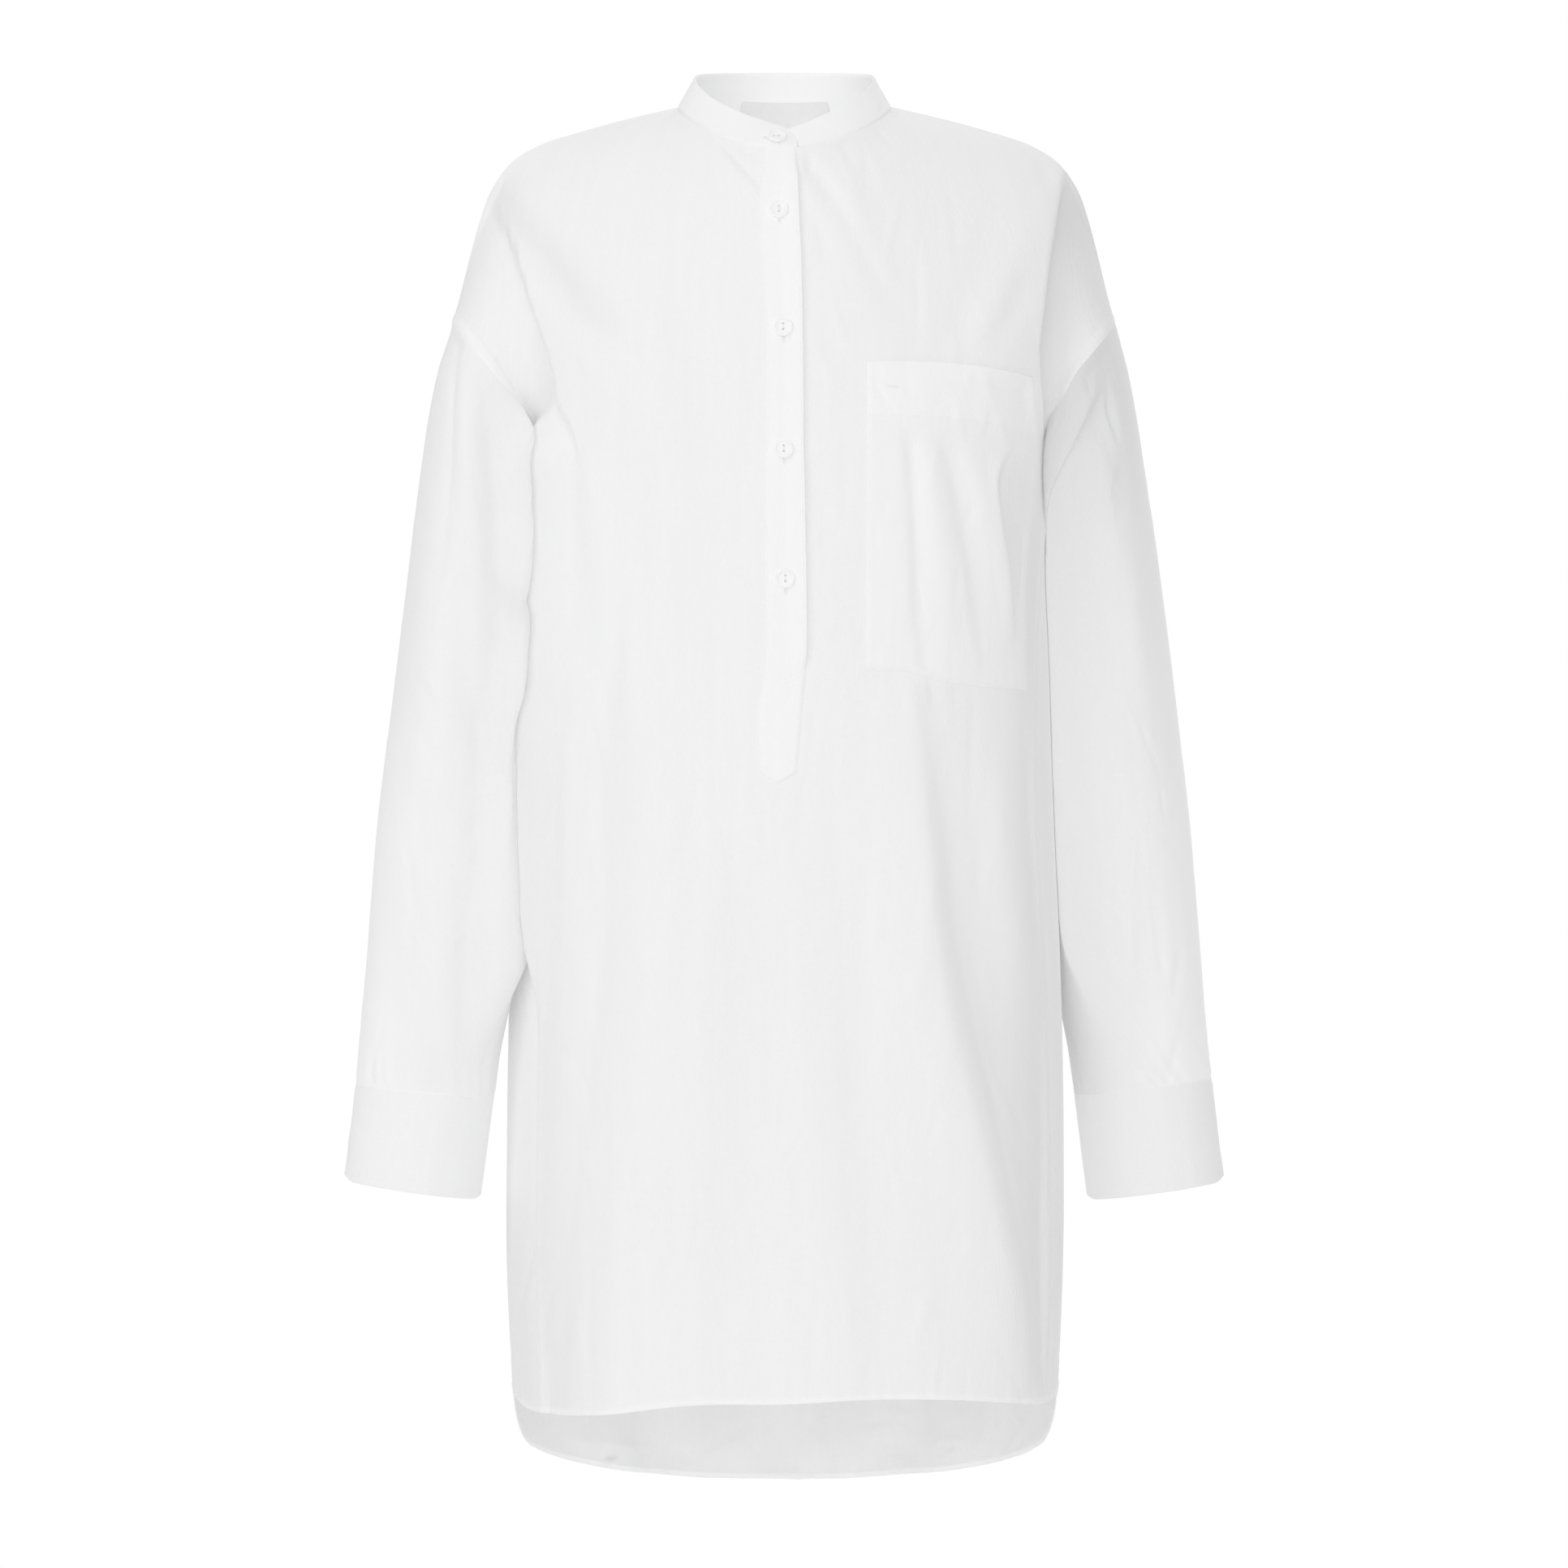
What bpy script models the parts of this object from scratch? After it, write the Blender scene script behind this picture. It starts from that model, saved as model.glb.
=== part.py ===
"""White cotton shirt dress: band collar, half placket, patch pocket, dropped
shoulders, long cuffed sleeves, and a hem that is longer behind.

Nobody wears it, and it keeps the round form that a wearer gives it. Each cut
piece is one closed wall. Metres, +Z up. The front faces -Y and +X is the
wearer's left, so side -1 is the wearer's right and side +1 the wearer's left.
Z = 0 lies at the side neck points, where the wearer's shoulders hold it.
"""
import math

import bmesh
import bpy
import numpy as np
from mathutils import Matrix, Vector
from mathutils.bvhtree import BVHTree

# ---------------------------------------------------------------- sizes
CLOTH = 0.0012           # wall of one layer of poplin
BAND = 0.0018            # wall of the collar band and the cuffs, sewn double
STRIP = 0.0010           # wall of the placket strips and the pocket
LABEL = 0.0010
SEAM_GAP = 0.0003        # two pieces that meet at a seam
FOLD_GAP = 0.0014        # added in half to a seam where the two fold right back
FOLDED_BACK = 0.72       # walls whose mean normal is shorter than this aren't mitred
LAYER_GAP = 0.0006       # a piece that lies on a panel

NECK_HALF = 0.0724       # the neck seam, seen from the front
NECK_Y = -0.004
NECK_FRONT_Y, NECK_FRONT_Z = -0.082, -0.0367
NECK_BACK_Y, NECK_BACK_Z = 0.064, 0.003
COLLAR_TOP_HALF = 0.0607
COLLAR_TOP_FRONT_Y, COLLAR_TOP_FRONT_Z = -0.063, -0.022
COLLAR_TOP_BACK_Y, COLLAR_TOP_BACK_Z = 0.058, 0.0315
COLLAR_TOP_SIDE_Z = 0.0205
COLLAR_V_SLOPE = 0.34    # the top edges fall to a V at centre front
COLLAR_LAP = 0.0084      # how far each end passes the centre front

SEAM_END = (0.2252, 0.005, -0.1467)     # shoulder seam meets the sleeve
UNDERARM_Z = -0.225                     # side seam meets the sleeve
UNDERARM_X = {-1: 0.1665, 1: 0.1735}
UNDERARM_Y = {-1: 0.010, 1: -0.008}
CHEST_Z = -0.262         # first row that runs level across the body

SHOULDER_COLUMNS = 10    # columns from the armhole to the side neck point
NECK_COLUMNS = 7         # columns from there to the centre
FAN_SHARE = 0.47         # share of the panel's width that the first ten take lower down
SHOULDER_ROWS = 6        # rows from the seam to the arm row
CHEST_ROWS = 5           # rows from there to the chest row
BODY_ROWS = 16           # rows from there to the hem
SLIT_END_Z = -0.385      # the front is slit from the neck to here
SLIT_HALF = 0.0008

# Outline of the shoulder from the neck out to the sleeve seam.
SHOULDER_OUTLINE = [
    # half_width, z
    (0.0724, 0.0000), (0.1053, -0.0074), (0.1378, -0.0160), (0.1682, -0.0260),
    (0.1820, -0.0340), (0.1930, -0.0450), (0.2025, -0.0640), (0.2092, -0.0851),
    (0.2190, -0.1236), (0.2252, -0.1467),
]

# Rings of the body below the arms.
BODY_RINGS = [
    # z, half width on the right, and on the left, front_depth, back_depth, squareness
    (-0.225, 0.1665, 0.1735, 0.124, 0.112, 2.10),
    (-0.262, 0.1738, 0.1782, 0.127, 0.114, 2.15),
    (-0.320, 0.1775, 0.1786, 0.130, 0.117, 2.20),
    (-0.370, 0.1797, 0.1792, 0.131, 0.119, 2.25),
    (-0.480, 0.1828, 0.1816, 0.133, 0.124, 2.30),
    (-0.590, 0.1860, 0.1862, 0.134, 0.129, 2.30),
    (-0.700, 0.1882, 0.1882, 0.135, 0.132, 2.35),
    (-0.780, 0.1885, 0.1880, 0.135, 0.134, 2.35),
    (-0.870, 0.1845, 0.1845, 0.135, 0.135, 2.35),
    (-0.950, 0.1805, 0.1805, 0.135, 0.135, 2.35),
]

# Level rows across the upper body at the arm row: arm, armpit hollow, chest.
UPPER_ROWS = {
    # (side, face): half_width, depth, z
    (-1, "front"): [(0.1926, 0.062, -0.186), (0.177, 0.055, -0.184), (0.163, 0.053, -0.181),
                    (0.146, 0.070, -0.178), (0.120, 0.091, -0.174), (0.085, 0.107, -0.171),
                    (0.045, 0.1165, -0.170), (0.0, 0.119, -0.170)],
    (1, "front"): [(0.1950, 0.058, -0.184), (0.185, 0.048, -0.184), (0.175, 0.047, -0.183),
                   (0.165, 0.062, -0.181), (0.140, 0.088, -0.176), (0.100, 0.105, -0.172),
                   (0.050, 0.1160, -0.170), (0.0, 0.119, -0.170)],
    (-1, "back"): [(0.1926, 0.073, -0.186), (0.175, 0.075, -0.182), (0.158, 0.083, -0.177),
                   (0.132, 0.096, -0.170), (0.100, 0.105, -0.165), (0.055, 0.1115, -0.160),
                   (0.0, 0.113, -0.160)],
    (1, "back"): [(0.1950, 0.076, -0.184), (0.177, 0.078, -0.182), (0.159, 0.085, -0.177),
                  (0.132, 0.097, -0.170), (0.100, 0.105, -0.165), (0.055, 0.1115, -0.160),
                  (0.0, 0.113, -0.160)],
}

# Where the side seam runs, as an angle in front of the widest line.
SIDE_SEAM = [
    # z, degrees on the wearer's right, degrees on the wearer's left
    (-0.225, 0, 0), (-0.262, 8, 8), (-0.320, 19, 18), (-0.400, 27, 24),
    (-0.600, 32, 25), (-0.950, 32, 23),
]

# The hem round one side, from the centre front (0) to the centre back (180).
HEM = [
    # degrees, z on the wearer's right, z on the wearer's left
    (0, -0.8620, -0.8620), (20, -0.8645, -0.8593), (35, -0.8710, -0.8610),
    (50, -0.8755, -0.8652), (66, -0.8746, -0.8692), (78, -0.8690, -0.8665),
    (88, -0.8680, -0.8655), (97, -0.8900, -0.8885), (106, -0.9070, -0.9055),
    (119, -0.9205, -0.9190), (135, -0.9333, -0.9320), (162, -0.9454, -0.9446),
    (180, -0.9472, -0.9472),
]

# Rings of the sleeves, from the armhole to the cuff; the last is the cuff's end.
SLEEVE_RINGS = {
    # side: z_outer, x_outer, z_inner, x_inner, y, half_depth
    -1: [(-0.1850, 0.2349, -0.2540, 0.1723, -0.015, 0.0655),
         (-0.2400, 0.2430, -0.2920, 0.1735, -0.022, 0.0630),
         (-0.3100, 0.2522, -0.3470, 0.1755, -0.026, 0.0600),
         (-0.4000, 0.2635, -0.4220, 0.1790, -0.030, 0.0560),
         (-0.4900, 0.2737, -0.5020, 0.1810, -0.031, 0.0530),
         (-0.5800, 0.2808, -0.5860, 0.1838, -0.032, 0.0500),
         (-0.6250, 0.2848, -0.6330, 0.1905, -0.032, 0.0450),
         (-0.6593, 0.2875, -0.6687, 0.1955, -0.032, 0.0370),
         (-0.7268, 0.2950, -0.7398, 0.2040, -0.033, 0.0360)],
    1: [(-0.1850, 0.2355, -0.2540, 0.1773, 0.012, 0.0655),
        (-0.2400, 0.2452, -0.2920, 0.1776, 0.021, 0.0630),
        (-0.3100, 0.2558, -0.3470, 0.1788, 0.026, 0.0600),
        (-0.4000, 0.2679, -0.4220, 0.1803, 0.028, 0.0560),
        (-0.4900, 0.2778, -0.5020, 0.1825, 0.027, 0.0530),
        (-0.5800, 0.2846, -0.5860, 0.1858, 0.026, 0.0500),
        (-0.6250, 0.2879, -0.6330, 0.1930, 0.022, 0.0450),
        (-0.6593, 0.2909, -0.6687, 0.1977, 0.019, 0.0370),
        (-0.7268, 0.2987, -0.7398, 0.2062, 0.016, 0.0360)],
}
SLEEVE_ROWS = 16
CUFF_ROWS = 3
CUFF_LAP_COLUMNS = 3     # how far a cuff laps over its own end, behind
CUFF_LAP_START = 7       # column, counted back from the outer line, where the lap begins
COLLAR_ROWS = 3
COLLAR_CORNER = (0.97, 0.72)    # height of the last two columns, which round the corner

# The large folds of a panel, each as a soft trough along a line.
FOLDS = {
    "front": [
        # wearer's right: from the shoulder down across the chest to the bust
        [(-0.200, -0.066, 0.000, 0.010), (-0.186, -0.093, 0.003, 0.011),
         (-0.169, -0.141, 0.006, 0.012), (-0.152, -0.190, 0.008, 0.016),
         (-0.138, -0.235, 0.004, 0.018), (-0.130, -0.270, 0.000, 0.018)],
        # wearer's right: long soft trough from the waist to the hem
        [(-0.118, -0.330, 0.000, 0.020), (-0.120, -0.480, 0.004, 0.022),
         (-0.124, -0.600, 0.006, 0.022), (-0.134, -0.690, 0.007, 0.022),
         (-0.142, -0.800, 0.006, 0.020), (-0.150, -0.880, 0.004, 0.018)],
        # wearer's left: long trough from the pocket to the hem
        [(0.098, -0.400, 0.000, 0.026), (0.108, -0.490, 0.004, 0.026),
         (0.120, -0.640, 0.006, 0.026), (0.138, -0.760, 0.007, 0.024),
         (0.152, -0.880, 0.006, 0.022)],
    ],
    "sleeve_right": [
        # from the sleeve seam down the front, and behind the elbow
        [(-0.216, -0.170, 0.000, 0.010), (-0.222, -0.240, 0.003, 0.010),
         (-0.224, -0.320, 0.000, 0.010)],
        [(-0.196, -0.280, 0.000, 0.010), (-0.198, -0.325, 0.004, 0.010),
         (-0.191, -0.370, 0.003, 0.010), (-0.190, -0.410, 0.000, 0.010)],
        [(-0.200, -0.500, 0.000, 0.014), (-0.192, -0.560, 0.004, 0.014),
         (-0.196, -0.620, 0.000, 0.012)],
    ],
    "sleeve_left": [
        [(0.222, -0.180, 0.000, 0.010), (0.230, -0.280, 0.003, 0.012),
         (0.236, -0.400, 0.003, 0.012), (0.242, -0.480, 0.000, 0.012)],
        [(0.200, -0.300, 0.000, 0.012), (0.204, -0.400, 0.004, 0.012),
         (0.202, -0.480, 0.000, 0.012)],
        [(0.206, -0.520, 0.000, 0.014), (0.200, -0.580, 0.004, 0.014),
         (0.206, -0.630, 0.000, 0.012)],
    ],
    "back": [
        [(-0.120, -0.200, 0.000, 0.022), (-0.112, -0.420, 0.006, 0.026),
         (-0.118, -0.700, 0.008, 0.028), (-0.122, -0.950, 0.008, 0.028)],
        [(0.126, -0.180, 0.000, 0.022), (0.104, -0.400, 0.006, 0.026),
         (0.108, -0.660, 0.007, 0.028), (0.120, -0.950, 0.008, 0.028)],
        [(-0.030, -0.300, 0.000, 0.026), (-0.036, -0.560, 0.004, 0.030),
         (-0.040, -0.950, 0.006, 0.032)],
        [(0.044, -0.380, 0.000, 0.026), (0.040, -0.600, 0.004, 0.030),
         (0.036, -0.950, 0.006, 0.032)],
    ],
}

# Places on the front, as half of the placket's and the pocket's outline.
PLACKET = [
    # z, left edge x, right edge x
    (-0.0372, -0.0138, 0.0080), (-0.0760, -0.0158, 0.0090), (-0.1150, -0.0146, 0.0108),
    (-0.1480, -0.0122, 0.0116), (-0.2400, -0.0119, 0.0125), (-0.3170, -0.0122, 0.0140),
    (-0.3850, -0.0125, 0.0135), (-0.4020, -0.0154, 0.0121), (-0.4506, -0.0156, 0.0077),
]
PLACKET_TIP_Z = -0.4580
PLACKET_ROWS = 24
UNDER_PLACKET_HALF = 0.0115

POCKET_EDGES = [
    # share of the height, inner x, inner z, outer x, outer z
    (0.0, 0.0545, -0.1815, 0.1654, -0.1879),
    (0.25, 0.0543, -0.2321, 0.1700, -0.2392),
    (0.4, 0.0541, -0.2624, 0.1671, -0.2700),
    (0.55, 0.0539, -0.2928, 0.1622, -0.3015),
    (1.0, 0.0537, -0.3838, 0.1607, -0.3955),
]
POCKET_BOW = 0.0027      # how far the middle of its top edge stands above the corners
POCKET_COLUMNS = (0, 0.17, 0.34, 0.50, 0.64, 0.76, 0.85, 0.92, 0.965, 1)    # closer outward
POCKET_ROWS = 16
POCKET_BULGE = 0.0012    # how far its mouth stands off the chest
POCKET_RIDGES = [
    # share of the width at the top and at the bottom, height, width
    (0.16, 0.22, 0.0012, 0.09), (0.45, 0.58, 0.0018, 0.09), (0.80, 0.86, 0.0012, 0.08),
]

LABEL_HALF, LABEL_TOP_Z, LABEL_HEIGHT = 0.0305, 0.0112, 0.022
LABEL_ROWS = 4

BUTTON_RADIUS = 0.00635
BUTTON_HEIGHT = 0.0024
BUTTON_RIM = 0.0011
BUTTON_DISH = 0.0006
BUTTON_HOLE_RADIUS = 0.0009
BUTTON_HOLE_SPACING = 0.0036
BUTTON_SIDES = 20
FRONT_BUTTONS = [
    # x, z
    (-0.0035, -0.0805), (-0.0008, -0.1587), (-0.0003, -0.2389), (0.0008, -0.3240),
]
COLLAR_BUTTON_X = -0.0052


# ---------------------------------------------------------------- helpers
def smooth(x, knots, values):
    """A smooth curve through the rows of a table, read at x."""
    knots, values = np.asarray(knots, float), np.asarray(values, float)
    if knots[0] > knots[-1]:
        knots, values = knots[::-1], values[::-1]
    slopes = np.gradient(values, knots, axis=0)
    x = np.clip(np.asarray(x, float), knots[0], knots[-1])
    i = np.clip(np.searchsorted(knots, x) - 1, 0, len(knots) - 2)
    step = knots[i + 1] - knots[i]
    t = (x - knots[i]) / step
    if values.ndim > 1:
        t, step = t[..., None], step[..., None]
    a = (1 + 2 * t) * (1 - t) ** 2
    b = t * (1 - t) ** 2
    c = t * t * (3 - 2 * t)
    d = t * t * (t - 1)
    return a * values[i] + b * step * slopes[i] + c * values[i + 1] + d * step * slopes[i + 1]


def columns(table):
    return [np.array(column, float) for column in zip(*table)]


def ramp(x, start, end):
    """0 before start, 1 after end, smooth between."""
    t = np.clip((np.asarray(x, float) - start) / (end - start), 0, 1)
    return t * t * (3 - 2 * t)


def along(points, shares):
    """Points of a line at shares of its length."""
    points = np.asarray(points, float)
    length = np.r_[0, np.cumsum(np.linalg.norm(np.diff(points, axis=0), axis=1))]
    return smooth(np.asarray(shares) * length[-1], length, points)


def unit(v):
    return v / np.maximum(np.linalg.norm(v, axis=-1, keepdims=True), 1e-12)


# ---------------------------------------------------------------- form of the body
def neck_point(side, face, angle):
    """The neck seam. Angle 90 degrees is the side neck point, 0 the centre."""
    s, c = np.sin(angle), np.cos(angle)
    if face == "front":
        y = NECK_Y + (NECK_FRONT_Y - NECK_Y) * c
        z = NECK_FRONT_Z * c * (0.55 + 0.45 * c)
    else:
        y = NECK_Y + (NECK_BACK_Y - NECK_Y) * c
        z = NECK_BACK_Z * c
    return np.stack([side * NECK_HALF * s, y, z], -1)


def top_edge(side, face):
    """Shoulder seam from the sleeve to the neck, then the neck seam to the centre."""
    half, z = columns(SHOULDER_OUTLINE[::-1])
    share = np.linspace(0, 1, SHOULDER_COLUMNS + 1)
    flat = along(np.stack([half, z], -1), share)
    y = SEAM_END[1] + (NECK_Y - SEAM_END[1]) * share
    seam = np.stack([side * flat[:, 0], y, flat[:, 1]], -1)
    neck = neck_point(side, face, np.radians(np.linspace(90, 0, NECK_COLUMNS + 1)))
    seam[-1] = neck[0]
    slope = np.r_[np.zeros(SHOULDER_COLUMNS), np.linspace(0, 1, NECK_COLUMNS + 1)]
    steepest = 32 if face == "front" else 28
    return np.concatenate([seam, neck[1:]]), np.radians(steepest * slope)


def body_point(side, angle, z):
    """Outer point of the body. Angle 0 is the centre front, pi the centre back."""
    ring_z, *ring = columns(BODY_RINGS)
    right, left, front, back, square = (smooth(z, ring_z, column) for column in ring)
    half = right if side < 0 else left
    s, c = np.sin(angle), np.cos(angle)
    reach = (np.abs(s) ** square + np.abs(c) ** square) ** (-1 / square)
    depth = np.where(c > 0, front, back)
    return np.stack([side * half * reach * s,
                     UNDERARM_Y[side] * s - depth * reach * c, z + 0 * s], -1)


def side_angle(side, face, z, share):
    """Angle of a column of a panel; share 0 is the side seam and 1 the centre."""
    knots, right, left = columns(SIDE_SEAM)
    ahead = np.radians(smooth(z, knots, right if side < 0 else left))
    if face == "front":
        return (math.pi / 2 - ahead) * (1 - share)
    return math.pi - (math.pi / 2 + ahead) * (1 - share)


def hem_z(side, angle):
    knots, right, left = columns(HEM)
    return smooth(np.degrees(angle), knots, right if side < 0 else left)


def half_panel(side, face):
    """Outer points of half a panel: rows from the top down, columns from the side in.
    From the neck the columns fan outward, from the sleeve seam they bend inward."""
    top, slope = top_edge(side, face)
    count = len(top)
    share = smooth(np.arange(count), [0, SHOULDER_COLUMNS / 2, SHOULDER_COLUMNS, count - 1],
                   [0, 0.45 * FAN_SHARE, FAN_SHARE, 1])
    fan = ramp(np.arange(count), 3, SHOULDER_COLUMNS)
    toward = -1 if face == "front" else 1
    half, depth, level = columns(UPPER_ROWS[side, face])
    row = along(np.stack([side * half, toward * depth, level], -1), share)
    rows = []
    for turn in np.linspace(0, math.pi / 2, SHOULDER_ROWS + 1):
        start = np.minimum(slope, math.pi / 2 - 0.01)
        at = start + turn / (math.pi / 2) * (math.pi / 2 - start)
        low_y = (top[:, 1] - row[:, 1] * np.sin(start)) / (1 - np.sin(start))
        rise = (top[:, 2] - row[:, 2]) / np.cos(start)
        sideways = ((1 - fan) * (1 - np.cos(at) / np.cos(start))
                    + fan * (np.sin(at) - np.sin(start)) / (1 - np.sin(start)))
        rows.append(np.stack([
            top[:, 0] + (row[:, 0] - top[:, 0]) * sideways,
            low_y + (row[:, 1] - low_y) * np.sin(at),
            row[:, 2] + rise * np.cos(at)], -1))
    chest_z = CHEST_Z + (UNDERARM_Z - CHEST_Z) * (1 - ramp(share, 0, 0.35))
    chest = body_point(side, side_angle(side, face, chest_z, share), chest_z)
    chest[0] = (side * UNDERARM_X[side], UNDERARM_Y[side], UNDERARM_Z)
    level_share = ramp(share, 0, 0.3)[:, None]
    inside = np.stack([row[:, 0], chest[:, 1], row[:, 2]], -1)
    centre = inside * (1 - level_share) + (row + chest) / 2 * level_share
    for turn in np.linspace(0, math.pi / 2, CHEST_ROWS + 1)[1:]:
        rows.append(centre + (row - centre) * math.cos(turn) + (chest - centre) * math.sin(turn))
    for fall in np.linspace(0, 1, BODY_ROWS + 1)[1:]:
        low = hem_z(side, side_angle(side, face, -0.9 + 0 * share, share))
        z = chest_z + (low - chest_z) * fall
        rows.append(body_point(side, side_angle(side, face, z, share), z))
    return np.array(rows)


def relax(grid, rounds, until):
    """Evens out the inner points of a panel's rows above a row number."""
    for _ in range(rounds):
        inner = (grid[:-2, 1:-1] + grid[2:, 1:-1] + grid[1:-1, :-2] + grid[1:-1, 2:]) / 4
        grid[1:until, 1:-1] += 0.5 * (inner[:until - 1] - grid[1:until, 1:-1])
    return grid


def grid_normals(grid, tube=False):
    """Normals of a grid. Rows run down and columns to the right, seen from outside."""
    if tube:
        across = np.roll(grid, -1, axis=1) - np.roll(grid, 1, axis=1)
    else:
        across = np.gradient(grid, axis=1)
    down = np.gradient(grid, axis=0)
    return unit(np.cross(down, across))


def trough_depth(x, z, fold):
    """Depth of one fold at points seen from the front, soft at its ends and sides."""
    line = np.array(fold, float)
    best = np.zeros_like(x)
    for (x0, z0, d0, w0), (x1, z1, d1, w1) in zip(line[:-1], line[1:]):
        dx, dz = x1 - x0, z1 - z0
        t = np.clip(((x - x0) * dx + (z - z0) * dz) / (dx * dx + dz * dz), 0, 1)
        away = np.hypot(x - x0 - t * dx, z - z0 - t * dz)
        depth, width = d0 + (d1 - d0) * t, w0 + (w1 - w0) * t
        best = np.maximum(best, depth * np.exp(-(away / width) ** 2))
    return best


def panel(face):
    """Outer points of a whole panel, with its folds."""
    right, left = half_panel(-1, face), half_panel(1, face)
    grid = np.concatenate([right, left[:, -2::-1]], axis=1)
    if face == "back":
        grid = grid[:, ::-1]
    grid = relax(grid, 6, SHOULDER_ROWS + CHEST_ROWS + 4)
    normals = grid_normals(grid)
    depth = sum(trough_depth(grid[..., 0], grid[..., 2], fold) for fold in FOLDS[face])
    edge = np.minimum(np.arange(grid.shape[1]), np.arange(grid.shape[1])[::-1])
    depth = depth * ramp(edge, 0, 2)[None, :]
    depth[0] = 0
    return grid - normals * depth[..., None]


# ---------------------------------------------------------------- form of the sleeves
def armhole(side):
    """The armhole, once round from the shoulder seam by the front, as the panels have it."""
    front, back = half_panel(side, "front"), half_panel(side, "back")
    last = SHOULDER_ROWS + CHEST_ROWS
    return np.concatenate([front[:last + 1, 0], back[last - 1:0:-1, 0]])


def ring_angles():
    """Angles round a sleeve, from its outer line by the front, as the armhole has them."""
    upper = np.linspace(0, 90, SHOULDER_ROWS + 1)
    lower = np.linspace(90, 180, CHEST_ROWS + 1)[1:]
    half = np.r_[upper, lower]
    return np.radians(np.r_[half, 360 - half[-2:0:-1]])


def sleeve_ring(side, sizes):
    z_out, x_out, z_in, x_in, y_middle, half_depth = sizes
    angle = ring_angles()
    c, s = np.cos(angle), np.sin(angle)
    x = (x_out + x_in) / 2 + (x_out - x_in) / 2 * c
    y = y_middle - half_depth * s
    z = (z_out + z_in) / 2 + (z_out - z_in) / 2 * c
    return np.stack([side * x, y, z], -1)


def turned(ring, side):
    """Puts a ring's points in order to the right, seen from outside."""
    return ring if side < 0 else np.roll(ring[..., ::-1, :], 1, axis=-2)


def sleeve(side):
    """Outer points of a sleeve: rows from the armhole to the cuff."""
    sizes = SLEEVE_RINGS[side][:-1]
    rings = np.array([armhole(side)] + [sleeve_ring(side, row) for row in sizes])
    centres = rings.mean(axis=1)
    length = np.r_[0, np.cumsum(np.linalg.norm(np.diff(centres, axis=0), axis=1))]
    places = np.linspace(0, length[-1], SLEEVE_ROWS + 1)
    grid = smooth(places, length, rings.reshape(len(rings), -1)).reshape(len(places), -1, 3)
    grid[0], grid[-1] = rings[0], rings[-1]
    grid = turned(grid, side)
    depth = sum(trough_depth(grid[..., 0], grid[..., 2], fold)
                for fold in FOLDS["sleeve_right" if side < 0 else "sleeve_left"])
    normals = grid_normals(grid, tube=True)
    depth = depth * (normals[..., 1] < 0.3)
    depth[0] = depth[-1] = 0
    return grid - normals * depth[..., None]


def cuff(side):
    """Outer points of a cuff, a strip that laps over its own start behind."""
    top, bottom = (turned(sleeve_ring(side, row), side) for row in SLEEVE_RINGS[side][-2:])
    count = len(top)
    start = count - CUFF_LAP_START if side < 0 else CUFF_LAP_START - CUFF_LAP_COLUMNS
    order = [(start + k) % count for k in range(count + CUFF_LAP_COLUMNS + 1)]
    share = np.linspace(0, 1, CUFF_ROWS + 1)[:, None, None]
    grid = top[order][None] * (1 - share) + bottom[order][None] * share
    lift = (BAND + 1.5 * SEAM_GAP) * ramp(np.arange(len(order)), count - 3, count - 0.5)
    away = grid - grid.mean(axis=1, keepdims=True)
    grid = grid + unit(away * (1, 1, 0)) * lift[None, :, None]
    grid[0, :, 2] -= 0.5 * lift
    return grid


# ---------------------------------------------------------------- form of the collar
def collar_lines(turn):
    """Neck seam and top edge of the band. Turn is in degrees from the centre front,
    past the wearer's right (90), the back (180) and the wearer's left (270)."""
    s, c = np.sin(np.radians(turn)), np.cos(np.radians(turn))
    ahead, weight = c > 0, np.abs(c)
    low = np.stack([
        -NECK_HALF * s,
        NECK_Y + (np.where(ahead, NECK_FRONT_Y, NECK_BACK_Y) - NECK_Y) * weight,
        np.where(ahead, NECK_FRONT_Z * weight * (0.55 + 0.45 * weight), NECK_BACK_Z * weight)], -1)
    v_rise = COLLAR_V_SLOPE * COLLAR_TOP_HALF
    from_centre = np.where(turn < 180, s, -s)
    front_z = (COLLAR_TOP_FRONT_Z + v_rise * from_centre
               + (COLLAR_TOP_SIDE_Z - COLLAR_TOP_FRONT_Z - v_rise) * (1 - weight) ** 1.2)
    back_z = COLLAR_TOP_SIDE_Z + (COLLAR_TOP_BACK_Z - COLLAR_TOP_SIDE_Z) * weight ** 0.8
    high = np.stack([
        -COLLAR_TOP_HALF * s,
        NECK_Y + (np.where(ahead, COLLAR_TOP_FRONT_Y, COLLAR_TOP_BACK_Y) - NECK_Y) * weight,
        np.where(ahead, front_z, back_z)], -1)
    return low, high


def collar():
    """Outer points of the band, from the under end by the wearer's left, the back and
    the wearer's right to the upper end. The last row is the neck seam."""
    past = math.degrees(math.asin(COLLAR_LAP / NECK_HALF))
    quarter = np.linspace(0, 90, NECK_COLUMNS + 1)
    half = np.r_[quarter, 180 - quarter[-2::-1]]
    turn = np.r_[-past, half, 360 - half[-2::-1], 360 + past][::-1]
    low, high = collar_lines(turn)
    height = np.ones(len(turn))
    height[-2:] = COLLAR_CORNER
    rise = np.linspace(1, 0, COLLAR_ROWS + 1)[:, None] * height
    grid = low + (high - low) * rise[..., None]
    return grid, turn


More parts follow.
